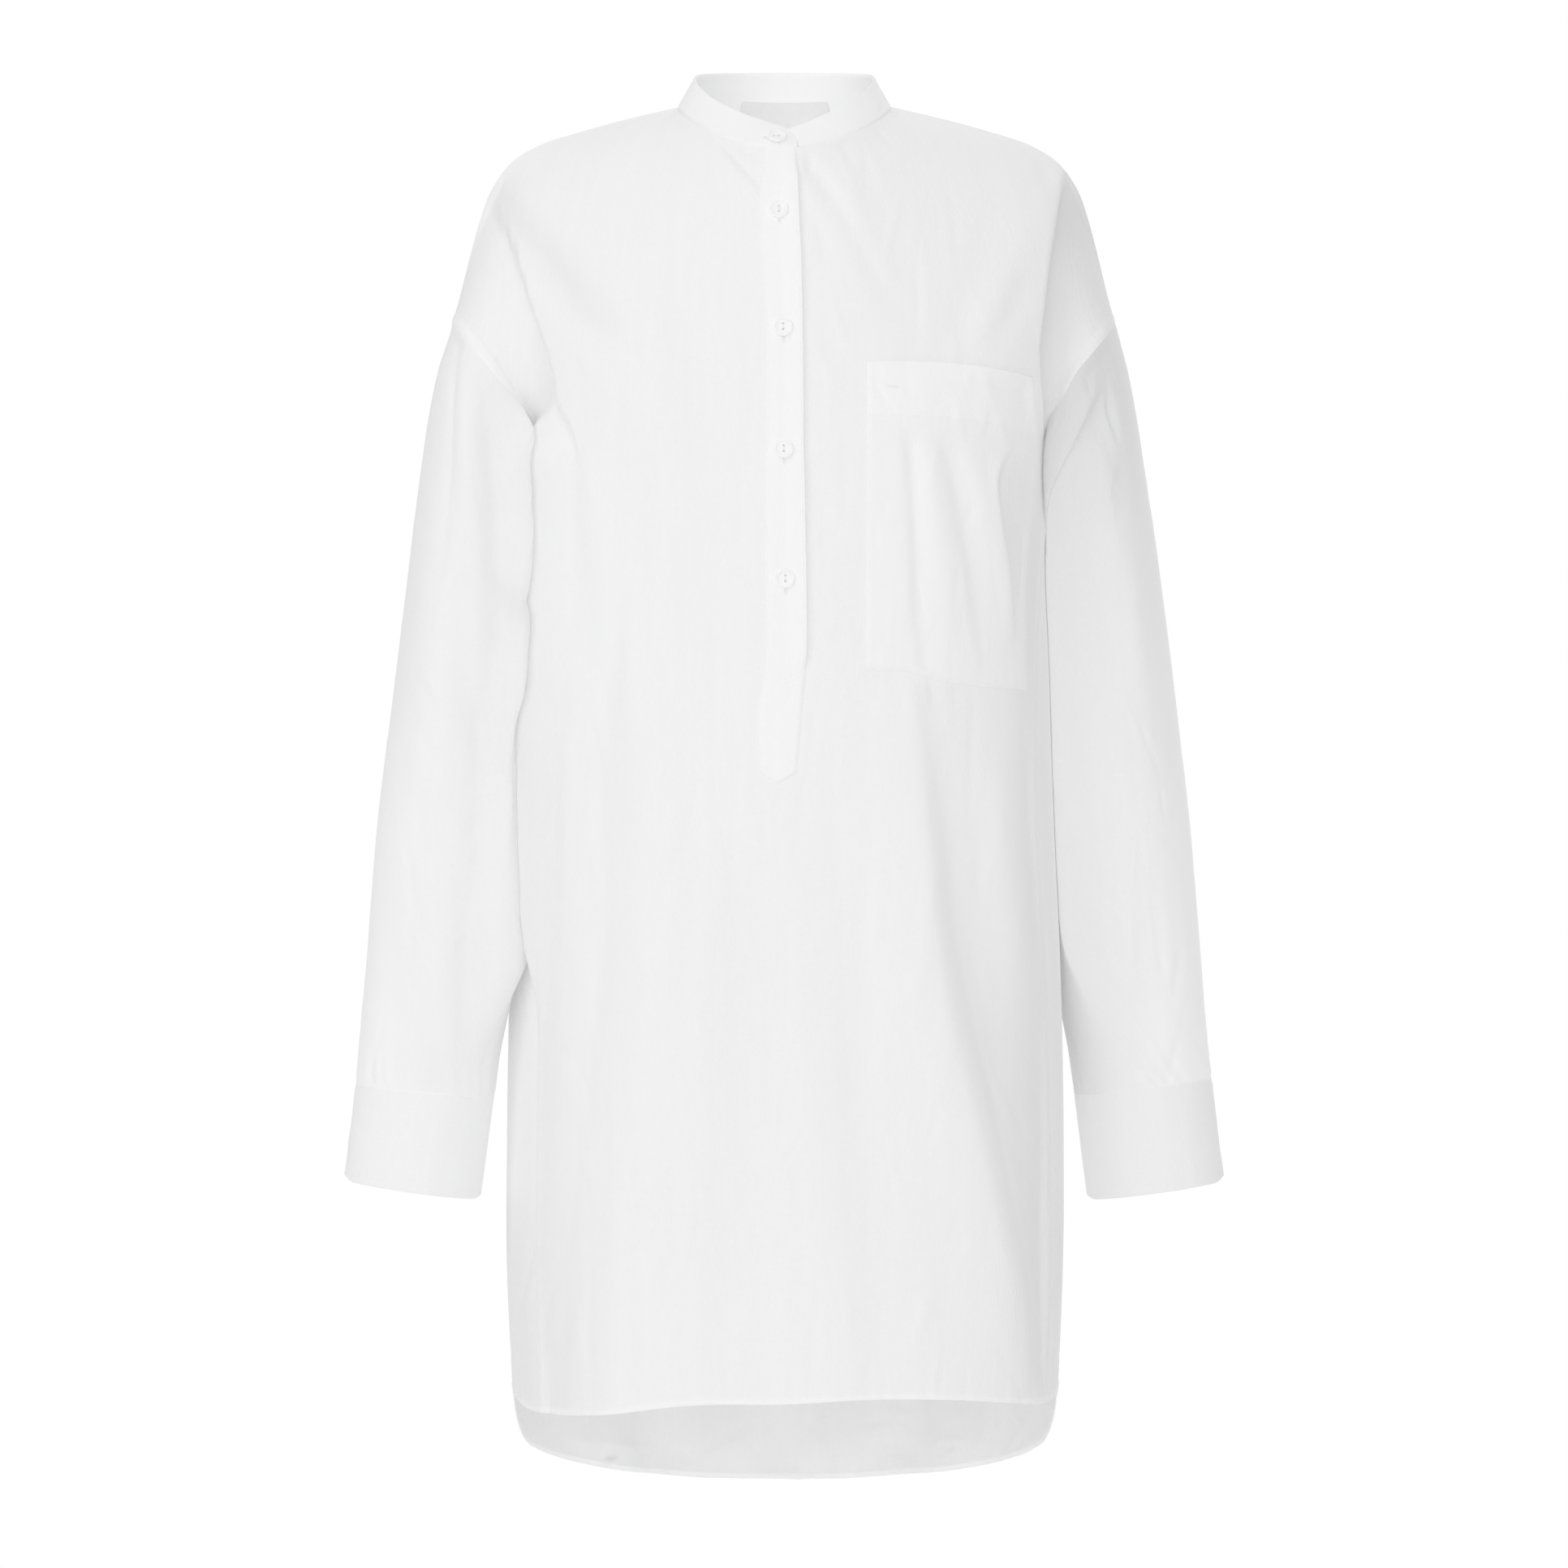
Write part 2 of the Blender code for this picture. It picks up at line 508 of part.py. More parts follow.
def lap_collar(band, turn):
    """Parts the lapped ends of the mitred band, the upper one outward. Past the centre
    each end follows the seam of the other side."""
    share = COLLAR_LAP / (NECK_HALF * math.sin(math.radians(90 / NECK_COLUMNS)))
    for end, centre, beyond in ((0, -2, -3), (-1, 1, 2)):
        for values in (band.grid, band.normals):
            values[-1, end] = values[-1, centre] * (1 - share) + values[-1, beyond] * share
    step = (BAND + SEAM_GAP) / 2 * (ramp(-turn, -38, -6) - ramp(turn, 322, 354))
    band.grid = band.grid + band.normals * step[None, :, None]


# ---------------------------------------------------------------- meshes
class Sheet:
    """Outer points of one piece of cloth and the wall behind them."""

    def __init__(self, grid, thickness, tube=False):
        self.grid, self.thickness, self.tube = grid, thickness, tube
        self.normals = grid_normals(grid, tube)
        rows, count = grid.shape[:2]
        self.edge = [(r, c) for r in range(rows) for c in range(count)
                     if r in (0, rows - 1) or (not tube and c in (0, count - 1))]

    def faces(self, slit=None):
        """Triangles over the points, and the twins of the points along a slit."""
        rows, count = self.grid.shape[:2]
        left = np.arange(rows * count).reshape(rows, count)
        right = left.copy()
        if slit:
            right[:slit[1], slit[0]] = rows * count + np.arange(slit[1])
        triangles = []
        for r in range(rows - 1):
            for c in range(count if self.tube else count - 1):
                d = (c + 1) % count
                near = right if slit and c >= slit[0] else left
                far = right if slit and c >= slit[0] else left
                a, b, e, f = near[r, c], near[r + 1, c], far[r + 1, d], far[r, d]
                triangles += [(a, b, e), (a, e, f)]
        return triangles


def mitre(sheets):
    """Where sheets meet at a seam, gives them one normal, so that their walls end
    face to face, and takes each edge back by half the seam's gap. In the armpit the
    sheets fold back on each other, and there each wall keeps its own normal."""
    meeting = {}
    for sheet in sheets:
        for spot in sheet.edge:
            meeting.setdefault(tuple(np.round(sheet.grid[spot], 6)), []).append((sheet, spot))
    changes = []
    for found in meeting.values():
        if len(found) < 2:
            continue
        ways = []
        for sheet, (row, column) in found:
            rows, count = sheet.grid.shape[:2]
            r = min(max(row, 1), rows - 2)
            c = column if sheet.tube else min(max(column, 1), count - 2)
            ways.append(unit(sheet.grid[r, c] - sheet.grid[row, column]))
        # Front and back count as one where a third piece ends their seam.
        shares = (0.5, 0.5) if len(found) == 2 else (0.25, 0.25, 0.5)
        mean = sum(share * sheet.normals[spot] for share, (sheet, spot) in zip(shares, found))
        folded = np.linalg.norm(mean) < FOLDED_BACK
        for (sheet, spot), way in zip(found, ways):
            away = unit(way - sum(other for other in ways if other is not way) / (len(ways) - 1))
            lean = max(0.6, float(unit(mean) @ sheet.normals[spot]))
            normal = sheet.normals[spot] if folded else unit(mean) / lean
            gap = SEAM_GAP * 0.6 + FOLD_GAP * (1 - np.linalg.norm(mean))
            changes.append((sheet, spot, normal, away * gap))
    for sheet, spot, normal, step in changes:
        sheet.normals[spot] = normal
        sheet.grid[spot] = sheet.grid[spot] + step


def make_object(name, vertices, faces, material):
    mesh = bpy.data.meshes.new(name)
    mesh.from_pydata([tuple(v) for v in vertices], [], faces)
    mesh.shade_smooth()
    mesh.set_sharp_from_angle(angle=math.radians(50))
    mesh.materials.append(material)
    obj = bpy.data.objects.new(name, mesh)
    bpy.context.scene.collection.objects.link(obj)
    return obj


def make_wall(name, sheet, material, slit=None):
    """The closed wall of a sheet. A slit is a column and the number of rows it parts."""
    skins = []
    for depth in (0, sheet.thickness):
        skin = (sheet.grid - sheet.normals * depth).reshape(-1, 3)
        if slit:
            parted = np.arange(slit[1]) * sheet.grid.shape[1] + slit[0]
            twins = skin[parted] + (SLIT_HALF, 0, 0)
            skin[parted] -= (SLIT_HALF, 0, 0)
            skin = np.concatenate([skin, twins])
        skins.append(skin)
    triangles = sheet.faces(slit)
    count = len(skins[0])
    faces = triangles + [(c + count, b + count, a + count) for a, b, c in triangles]
    directed = {(t[i], t[(i + 1) % 3]) for t in triangles for i in range(3)}
    for a, b in sorted(directed):
        if (b, a) not in directed:
            faces += [(b, a, a + count), (b, a + count, b + count)]
    return make_object(name, np.concatenate(skins), faces, material)


class Surface:
    """A sheet's outer face, to lay other pieces on."""

    def __init__(self, sheet):
        self.points = sheet.grid.reshape(-1, 3)
        self.normals = sheet.normals.reshape(-1, 3)
        self.faces = sheet.faces()
        self.tree = BVHTree.FromPolygons([Vector(p) for p in self.points], self.faces)

    def at(self, x, z):
        """The point seen from the front at x, z, and the normal there."""
        place, _, face, _ = self.tree.ray_cast(Vector((x, -1.0, z)), Vector((0, 1, 0)))
        place = np.array(place)
        ids = self.faces[face]
        a, b, c = (self.points[i] for i in ids)
        shares = [np.linalg.norm(np.cross(q - p, r - p)) for p, q, r in
                  ((place, b, c), (place, c, a), (place, a, b))]
        normal = sum(share * self.normals[i] for share, i in zip(shares, ids))
        return place, unit(normal)


def laid_sheet(surface, places, lifts, thickness):
    """A sheet over a surface: a grid of (x, z) places and its underside's height there."""
    grid = np.zeros(places.shape[:2] + (3,))
    for r, c in np.ndindex(grid.shape[:2]):
        point, normal = surface.at(*places[r, c])
        grid[r, c] = point + normal * (lifts[r, c] + thickness)
    return Sheet(grid, thickness)


# ---------------------------------------------------------------- pieces on the front
def placket_places(rows, across):
    """Places from the neck seam down to the point; the last row is the pointed end."""
    knots, left, right = columns(PLACKET)
    z = np.linspace(knots[0] - SEAM_GAP, knots[-1], rows)
    share = np.asarray(across)[None, :]
    x = smooth(z, knots, left)[:, None] * (1 - share) + smooth(z, knots, right)[:, None] * share
    level = np.repeat(z[:, None], len(across), axis=1)
    level[-1, 1:-1] = PLACKET_TIP_Z
    level[-2, 1:-1] = (level[-3, 0] + PLACKET_TIP_Z) / 2
    return np.stack([x, level], -1)


def placket_top(surface):
    across = (0.0, 0.46, 0.8, 1.0)
    places = placket_places(PLACKET_ROWS, across)
    lifts = np.full(places.shape[:2], LAYER_GAP)
    free = ramp(-places[:, 0, 1], 0.04, 0.06) * (1 - ramp(-places[:, 0, 1], 0.37, 0.42))
    lifts += np.outer(free, (0, 0, 0.0003, 0.0006))
    return laid_sheet(surface, places, lifts, STRIP)


def placket_under(surface):
    z = np.linspace(PLACKET[0][0] - 0.004, SLIT_END_Z - 0.004, PLACKET_ROWS)
    x = np.array([-1, -0.35, 0.35, 1]) * UNDER_PLACKET_HALF
    places = np.stack(np.meshgrid(x, z), -1)
    lifts = np.full(places.shape[:2], -CLOTH - LAYER_GAP - STRIP)
    return laid_sheet(surface, places, lifts, STRIP)


def pocket(surface):
    across = np.array(POCKET_COLUMNS)[None, :]
    down = np.linspace(0, 1, POCKET_ROWS)[:, None]
    knots, *edges = columns(POCKET_EDGES)
    inner_x, inner_z, outer_x, outer_z = (smooth(down, knots, edge) for edge in edges)
    places = np.stack([inner_x + (outer_x - inner_x) * across,
                       inner_z + (outer_z - inner_z) * across
                       + POCKET_BOW * np.sin(math.pi * across) * (1 - down)], -1)
    lifts = LAYER_GAP + POCKET_BULGE * np.sin(math.pi * across) * (1 - ramp(down, 0.6, 1))
    lifts = lifts + LAYER_GAP * ramp(across, 0.6, 0.9)
    for at_top, at_bottom, height, width in POCKET_RIDGES:
        line = at_top + (at_bottom - at_top) * down
        lifts = lifts + height * np.exp(-((across - line) / width) ** 2) * (
            ramp(down, 0.05, 0.35) * (1 - ramp(down, 0.75, 1)))
    return laid_sheet(surface, places, lifts, STRIP)


def neck_label():
    """A tape stitched inside the back of the band, hanging a little below it."""
    edge = math.degrees(math.asin(LABEL_HALF / NECK_HALF))
    step = 90 / NECK_COLUMNS
    turn = np.r_[-edge, [k * step for k in range(-1, 2)], edge] + 180
    low, high = collar_lines(turn)
    rows = []
    for z in np.linspace(LABEL_TOP_Z, LABEL_TOP_Z - LABEL_HEIGHT, LABEL_ROWS):
        share = np.clip((z - low[:, 2]) / (high[:, 2] - low[:, 2]), 0, 1)[:, None]
        line = low + (high - low) * share
        line[:, 1] -= BAND + LAYER_GAP + LABEL
        line[:, 2] = z
        rows.append(line)
    return Sheet(np.array(rows), LABEL)


# ---------------------------------------------------------------- buttons
def button_mesh(material):
    """A turned two-hole button, face up, its back on the plane z = 0."""
    profile = [
        # radius, height
        (BUTTON_RADIUS * 0.80, 0.0),
        (BUTTON_RADIUS, BUTTON_HEIGHT * 0.35),
        (BUTTON_RADIUS, BUTTON_HEIGHT * 0.80),
        (BUTTON_RADIUS - BUTTON_RIM * 0.5, BUTTON_HEIGHT),
        (BUTTON_RADIUS - BUTTON_RIM * 1.5, BUTTON_HEIGHT - BUTTON_DISH),
    ]
    turns = np.arange(BUTTON_SIDES) * 2 * math.pi / BUTTON_SIDES
    vertices = [(radius * math.cos(t), radius * math.sin(t), height)
                for radius, height in profile for t in turns]
    faces = []
    for ring in range(len(profile) - 1):
        for k in range(BUTTON_SIDES):
            a, b = ring * BUTTON_SIDES + k, ring * BUTTON_SIDES + (k + 1) % BUTTON_SIDES
            faces.append((a, b, b + BUTTON_SIDES, a + BUTTON_SIDES))
    faces.append(tuple(range(BUTTON_SIDES))[::-1])
    faces.append(tuple(range(len(vertices) - BUTTON_SIDES, len(vertices))))
    blank = make_object("button blank", vertices, faces, material)
    as_helper(blank)
    for side in (-1, 1):
        bm = bmesh.new()
        bmesh.ops.create_cone(bm, cap_ends=True, segments=8, radius1=BUTTON_HOLE_RADIUS,
                              radius2=BUTTON_HOLE_RADIUS, depth=4 * BUTTON_HEIGHT)
        bmesh.ops.translate(bm, verts=bm.verts, vec=(0, side * BUTTON_HOLE_SPACING / 2, 0))
        mesh = bpy.data.meshes.new("button hole")
        bm.to_mesh(mesh)
        bm.free()
        hole = bpy.data.objects.new("button hole", mesh)
        bpy.context.scene.collection.objects.link(hole)
        as_helper(hole)
        cut = blank.modifiers.new("hole", "BOOLEAN")
        cut.object = hole
    bpy.context.view_layer.update()
    drilled = blank.evaluated_get(bpy.context.evaluated_depsgraph_get())
    return bpy.data.meshes.new_from_object(drilled)


def as_helper(obj):
    obj.hide_render = True
    obj.display_type = "WIRE"


def place_button(name, mesh, point, normal, holes, gap=LAYER_GAP):
    """A button with its back just above a point; its holes lie in line with holes."""
    normal = Vector(unit(normal))
    side = Vector(holes).cross(normal).normalized()
    line = normal.cross(side)
    place = Vector(point) + normal * gap
    obj = bpy.data.objects.new(name, mesh)
    bpy.context.scene.collection.objects.link(obj)
    obj.matrix_world = Matrix((side, line, normal)).transposed().to_4x4()
    obj.location = place
    return obj


def place_front_buttons(mesh, strip):
    surface = Surface(strip)
    for number, (x, z) in enumerate(FRONT_BUTTONS, start=1):
        place_button(f"button_{number}", mesh, *surface.at(x, z), holes=(0, 0, 1))


def place_collar_button(mesh, band):
    """The band leans back at the front, so its button lies in the middle of its height."""
    middle = band.grid.shape[0] // 2
    end = band.grid[middle, -4:]
    share = (COLLAR_BUTTON_X - end[:, 0])
    column = int(np.argmin(np.abs(share)))
    normals = band.normals[middle, -4:]
    point = np.array([np.interp(COLLAR_BUTTON_X, end[:, 0], end[:, k]) for k in range(3)])
    place_button("button_collar", mesh, point, normals[column], holes=(1, 0, 0),
                 gap=1.5 * LAYER_GAP)


def place_cuff_button(name, mesh, cuff_sheet):
    """In the middle of the lap's height, over the under end."""
    column = -2
    row = cuff_sheet.grid.shape[0] // 2
    pair = cuff_sheet.grid[row - 1:row + 1, column]
    point = pair.mean(axis=0)
    normal = cuff_sheet.normals[row - 1:row + 1, column].mean(axis=0)
    place_button(name, mesh, point, normal, holes=(0, 0, 1))


# ---------------------------------------------------------------- the dress
def fabric(name, shade, roughness=0.85):
    material = bpy.data.materials.new(name)
    material.use_nodes = True
    shader = material.node_tree.nodes["Principled BSDF"]
    shader.inputs["Base Color"].default_value = (shade, shade, shade, 1)
    shader.inputs["Roughness"].default_value = roughness
    shader.inputs["Metallic"].default_value = 0.0
    return material


def build():
    for obj in list(bpy.data.objects):
        bpy.data.objects.remove(obj)
    poplin = fabric("white poplin", 0.84)
    doubled = fabric("white poplin, doubled", 0.87)
    tape = fabric("label tape", 0.72)
    resin = fabric("button resin", 0.82, roughness=0.35)

    front, back = Sheet(panel("front"), CLOTH), Sheet(panel("back"), CLOTH)
    sleeves = {side: Sheet(sleeve(side), CLOTH, tube=True) for side in (-1, 1)}
    cuffs = {side: Sheet(cuff(side), BAND) for side in (-1, 1)}
    band_grid, band_turn = collar()
    band = Sheet(band_grid, BAND)
    mitre([front, back, band, *sleeves.values(), *cuffs.values()])
    lap_collar(band, band_turn)

    middle = front.grid.shape[1] // 2
    slit_rows = int(np.sum(front.grid[:, middle, 2] > SLIT_END_Z))
    make_wall("front", front, poplin, slit=(middle, slit_rows))
    make_wall("back", back, poplin)
    make_wall("collar_band", band, doubled)
    for side, word in ((-1, "right"), (1, "left")):
        make_wall("sleeve_" + word, sleeves[side], poplin)
        make_wall("cuff_" + word, cuffs[side], doubled)

    chest = Surface(front)
    strip = placket_top(chest)
    make_wall("placket_top", strip, doubled)
    make_wall("placket_under", placket_under(chest), doubled)
    make_wall("pocket", pocket(chest), doubled)
    make_wall("neck_label", neck_label(), tape)

    button = button_mesh(resin)
    place_front_buttons(button, strip)
    place_collar_button(button, band)
    for side, word in ((-1, "right"), (1, "left")):
        place_cuff_button("button_cuff_" + word, button, cuffs[side])


build()
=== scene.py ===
# %% [markdown]
# # A white poplin shirt dress
# The solid model gives every cut piece its place and size. This file puts cloth on it:
# a dress shirt's fabric with its folds, hems, seams, sewing thread and buttons. Metres,
# +Z up; the front faces -Y and +X is the wearer's left. Side -1 is the wearer's right.

# %% Load the solids
import math

import bmesh
import bpy
import numpy as np
from mathutils import Matrix, Vector
from mathutils.bvhtree import BVHTree


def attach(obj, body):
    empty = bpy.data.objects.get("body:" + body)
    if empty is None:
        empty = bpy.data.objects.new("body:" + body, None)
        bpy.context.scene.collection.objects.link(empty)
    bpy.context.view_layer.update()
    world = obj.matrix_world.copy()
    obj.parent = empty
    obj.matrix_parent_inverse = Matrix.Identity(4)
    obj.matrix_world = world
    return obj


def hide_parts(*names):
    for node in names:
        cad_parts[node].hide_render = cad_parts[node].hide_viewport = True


WORDS = {-1: "right", 1: "left"}        # what each side is called
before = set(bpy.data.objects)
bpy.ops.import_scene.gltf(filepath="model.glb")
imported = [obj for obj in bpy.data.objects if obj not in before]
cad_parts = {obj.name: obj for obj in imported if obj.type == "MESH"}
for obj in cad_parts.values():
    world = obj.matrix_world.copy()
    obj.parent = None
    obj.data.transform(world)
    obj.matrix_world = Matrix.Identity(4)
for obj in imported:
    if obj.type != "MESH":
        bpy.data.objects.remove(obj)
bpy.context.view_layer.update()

# %% [markdown]
# ## Writing shaders short
# Every material below is arithmetic on a few noises. A Signal is a socket that sums and
# products can be written with, and each one makes its Math node. node() makes any other
# node with its settings and inputs in one line.

# %% Shader helpers
class Signal:
    """An output socket; + - * / and abs() on it make Math nodes."""

    def __init__(self, socket):
        self.socket, self.tree = socket, socket.id_data

    def maths(self, kind, *others):
        return node(self.tree, "Math", dict(enumerate((self, *others))), operation=kind)

    def __add__(self, other):
        return self.maths("ADD", other)

    def __sub__(self, other):
        return self.maths("SUBTRACT", other)

    def __mul__(self, other):
        return self.maths("MULTIPLY", other)

    def __truediv__(self, other):
        return self.maths("DIVIDE", other)

    def __abs__(self):
        return self.maths("ABSOLUTE")


def wire(value, socket):
    """Links a signal to an input, or sets a number or colour there."""
    if isinstance(value, Signal):
        value.tree.links.new(value.socket, socket)
    else:
        socket.default_value = value


def node(tree, kind, inputs=None, out=0, **settings):
    made = tree.nodes.new("ShaderNode" + kind)
    for name, value in settings.items():
        setattr(made, name, value)
    for name, value in (inputs or {}).items():
        wire(value, made.inputs[name])
    return Signal(made.outputs[out])


def noise(vector, scale, detail=2.0, rough=0.5, distortion=0.0):
    return node(vector.tree, "TexNoise", {"Vector": vector, "Scale": scale, "Detail": detail,
                                          "Roughness": rough, "Distortion": distortion})


def parts_of(vector):
    """The X and Y of a vector."""
    outputs = node(vector.tree, "SeparateXYZ", {0: vector}).socket.node.outputs
    return Signal(outputs[0]), Signal(outputs[1])


def stretched(vector, across, down):
    """A vector whose X and Y are multiplied."""
    x, y = parts_of(vector)
    return node(vector.tree, "CombineXYZ", {0: x * across, 1: y * down})


def mixed(factor, low, high):
    """A colour between two; a factor past 0 or 1 goes past them."""
    return node(factor.tree, "Mix", {"A": (*low, 1), "B": (*high, 1), "Factor": factor},
                out="Result", data_type="RGBA", clamp_factor=False)


def new_material(name):
    material = bpy.data.materials.new(name)
    material.use_nodes = True
    return material, material.node_tree


def shade(material, inputs):
    """Sets or links the inputs of a material's Principled BSDF."""
    for name, value in inputs.items():
        wire(value, material.node_tree.nodes["Principled BSDF"].inputs[name])
    return material


WHITE = (1, 1, 1, 1)
print("shader helpers ready")

# %% [markdown]
# ## Camera and light
# White cloth on a white ground shows its form only by faint shade. A long lens keeps the
# dress in its true proportions. A large soft lamp in front on the right sleeve's side and
# a weaker one near the camera give the folds a lit and a shaded flank, one behind lights
# the back, and two small ones inside keep the hollows from going dark. The world is white
# to the camera and dimmer to the cloth, so that the ground stays clean while the cloth
# keeps its tone.

# %% Camera
FRAME_PIXELS = 1932
PIXEL = 0.00055                 # metres per pixel where the dress hangs
CAMERA_BACK, CAMERA_LEVEL = 3.5, -0.458
SENSOR = 36.0


def place_object(name, data):
    made = bpy.data.objects.new(name, data)
    bpy.context.scene.collection.objects.link(made)
    return made


lens = bpy.data.cameras.new("camera")
lens.sensor_width = SENSOR
lens.lens = SENSOR / (FRAME_PIXELS * PIXEL) * CAMERA_BACK
camera = place_object("camera", lens)
camera.location = (-PIXEL / 2, -CAMERA_BACK, CAMERA_LEVEL)
camera.rotation_euler = (math.pi / 2, 0, 0)
bpy.context.scene.camera = camera
print("lens", round(lens.lens, 2), "mm")

# %% World and lamps
GROUND_WHITE = 1.0              # what the camera sees behind the dress
SURROUND = 0.82                 # what lights the cloth from front, back, above and below
SIDE_DIM = 0.40                 # how much dimmer it is at both sides
LAMPS = [
    # name, place, size, watts, aimed at
    ("key lamp", (-2.9, -2.8, 1.6), 2.0, 20.0, (0.0, 0.0, -0.40)),
    ("front lamp", (-0.3, -4.2, 0.3), 3.0, 15.0, (0.0, 0.0, -0.50)),
    ("back lamp", (1.8, 3.2, 1.6), 2.4, 26.0, (0.0, 0.0, -0.45)),
    # two small ones inside, so that the hollows don't go dark
    ("hem lamp", (-0.02, -0.055, -0.900), 0.10, 0.020, (0.0, 0.12, -0.88)),
    ("neck lamp", (-0.012, -0.010, -0.026), 0.04, 0.009, (0.0, 0.05, 0.03)),
]


def make_world():
    world = bpy.data.worlds.new("white studio")
    world.use_nodes = True
    tree = world.node_tree
    tree.nodes.clear()
    sideways, _ = parts_of(node(tree, "TexCoord", out="Generated"))
    dimmed = (sideways * sideways).maths("MULTIPLY_ADD", -SIDE_DIM, SURROUND)
    lit, seen = (node(tree, "Background", {"Color": WHITE, "Strength": strength})
                 for strength in (dimmed, GROUND_WHITE))
    ray = node(tree, "LightPath", out="Is Camera Ray")
    mix = node(tree, "MixShader", {"Fac": ray, 1: lit, 2: seen})
    wire(mix, tree.nodes.new("ShaderNodeOutputWorld").inputs["Surface"])
    bpy.context.scene.world = world


make_world()
for name, place, size, watts, aim in LAMPS:
    light = bpy.data.lights.new(name, "AREA")
    light.shape, light.size, light.energy = "DISK", size, watts
    lamp = place_object(name, light)
    lamp.location = place
    lamp.visible_camera = False
    lamp.rotation_euler = (Vector(aim) - Vector(place)).to_track_quat("-Z", "Y").to_euler()
bpy.context.scene.view_settings.view_transform = "Standard"
print("lamps:", len(LAMPS))

# %% [markdown]
# ## Helpers for smooth tables and grids
# A garment is mostly sheets, so almost every piece here is a grid of points: rows run
# down it and columns run across. The helpers read smooth values from short tables, make
# a coarse grid finer, and find the grid's normals.

# %% Tables and curves
def smooth(x, knots, values):
    """A smooth curve through the rows of a table, read at x."""
    knots, values = np.asarray(knots, float), np.asarray(values, float)
    if knots[0] > knots[-1]:
        knots, values = knots[::-1], values[::-1]
    slopes = np.gradient(values, knots, axis=0)
    x = np.clip(np.asarray(x, float), knots[0], knots[-1])
    i = np.clip(np.searchsorted(knots, x) - 1, 0, len(knots) - 2)
    step = knots[i + 1] - knots[i]
    t = (x - knots[i]) / step
    if values.ndim > 1:
        t, step = t[..., None], step[..., None]
    a = (1 + 2 * t) * (1 - t) ** 2
    b = t * (1 - t) ** 2
    c = t * t * (3 - 2 * t)
    d = t * t * (t - 1)
    return a * values[i] + b * step * slopes[i] + c * values[i + 1] + d * step * slopes[i + 1]


def columns(table):
    return [np.array(column, float) for column in zip(*table)]


def ramp(x, start, end):
    """0 before start, 1 after end, smooth between."""
    t = np.clip((np.asarray(x, float) - start) / (end - start), 0, 1)
    return t * t * (3 - 2 * t)


def fade(x, start, end):
    """1 before start, 0 after end, smooth between."""
    return 1 - ramp(x, start, end)


def along(points, shares):
    """Points of a line at shares of its length."""
    points = np.asarray(points, float)
    length = np.r_[0, np.cumsum(np.linalg.norm(np.diff(points, axis=0), axis=1))]
    return smooth(np.asarray(shares) * length[-1], length, points)


def unit(v):
    return v / np.maximum(np.linalg.norm(v, axis=-1, keepdims=True), 1e-12)


# %% Grids
def grid_normals(grid, tube=False):
    """Normals of a grid. Rows run down and columns to the right, seen from outside."""
    if tube:
        across = np.roll(grid, -1, axis=1) - np.roll(grid, 1, axis=1)
    else:
        across = np.gradient(grid, axis=1)
    return unit(np.cross(np.gradient(grid, axis=0), across))


def steps(parts):
    """Places from 0 to len(parts), with parts[i] steps between i and i + 1."""
    return np.r_[np.concatenate([i + np.arange(n) / n for i, n in enumerate(parts)]), len(parts)]


def down_rows(grid, places, first=0):
    rows = np.arange(len(grid)) + first
    return smooth(places, rows, grid.reshape(len(grid), -1)).reshape(
        (len(places),) + grid.shape[1:])


def drawn_rows(grid, places, corners, near):
    """Finer rows. Where near is 1, the stretches between corner rows are drawn apart."""
    whole = down_rows(grid, places)
    if not corners:
        return whole
    cuts = [0, *corners, len(grid) - 1]
    split = [down_rows(grid[low:high + 1],
                       places[(places >= low) & ((places < high) | (high == cuts[-1]))], low)
             for low, high in zip(cuts[:-1], cuts[1:])]
    return whole + (np.concatenate(split) - whole) * near[None, :, None]


def finer(grid, row_places, column_places, row_corners=(), column_corners=()):
    """A smooth grid through a coarse one. At a corner row the side edges turn sharply, and
    at a corner column the top edge does."""
    across = np.arange(grid.shape[1])
    at_sides = fade(np.minimum(across, across[-1] - across), 0, 3)
    tall = drawn_rows(grid, row_places, row_corners, at_sides)
    at_top = fade(row_places, 0, 3)
    wide = drawn_rows(tall.transpose(1, 0, 2), column_places, column_corners, at_top)
    return wide.transpose(1, 0, 2)


def lengths_along(grid, axis):
    """How far each point lies along its row (axis 1) or column (axis 0)."""
    gaps = np.linalg.norm(np.diff(grid, axis=axis), axis=-1)
    zero = np.zeros_like(np.take(gaps, [0], axis=axis))
    return np.concatenate([zero, np.cumsum(gaps, axis=axis)], axis=axis)


def to_edges(lengths):
    """The smaller of the ways from the first and from the last row."""
    return np.minimum(lengths, lengths[-1:] - lengths)


print("helpers ready")

# %% [markdown]
# ## The body's form
# The dress hangs on its shoulders and keeps the round form of a wearer. Four kinds of
# table describe it: the shoulder's outline, level rings of the body, one row across the
# chest at the arms, and the hem. They are the solid model's own tables, so the cloth lies
# just where the solids are. A simulation could drape the cloth too, but then its outline
# and folds would land in other places than the real one's.

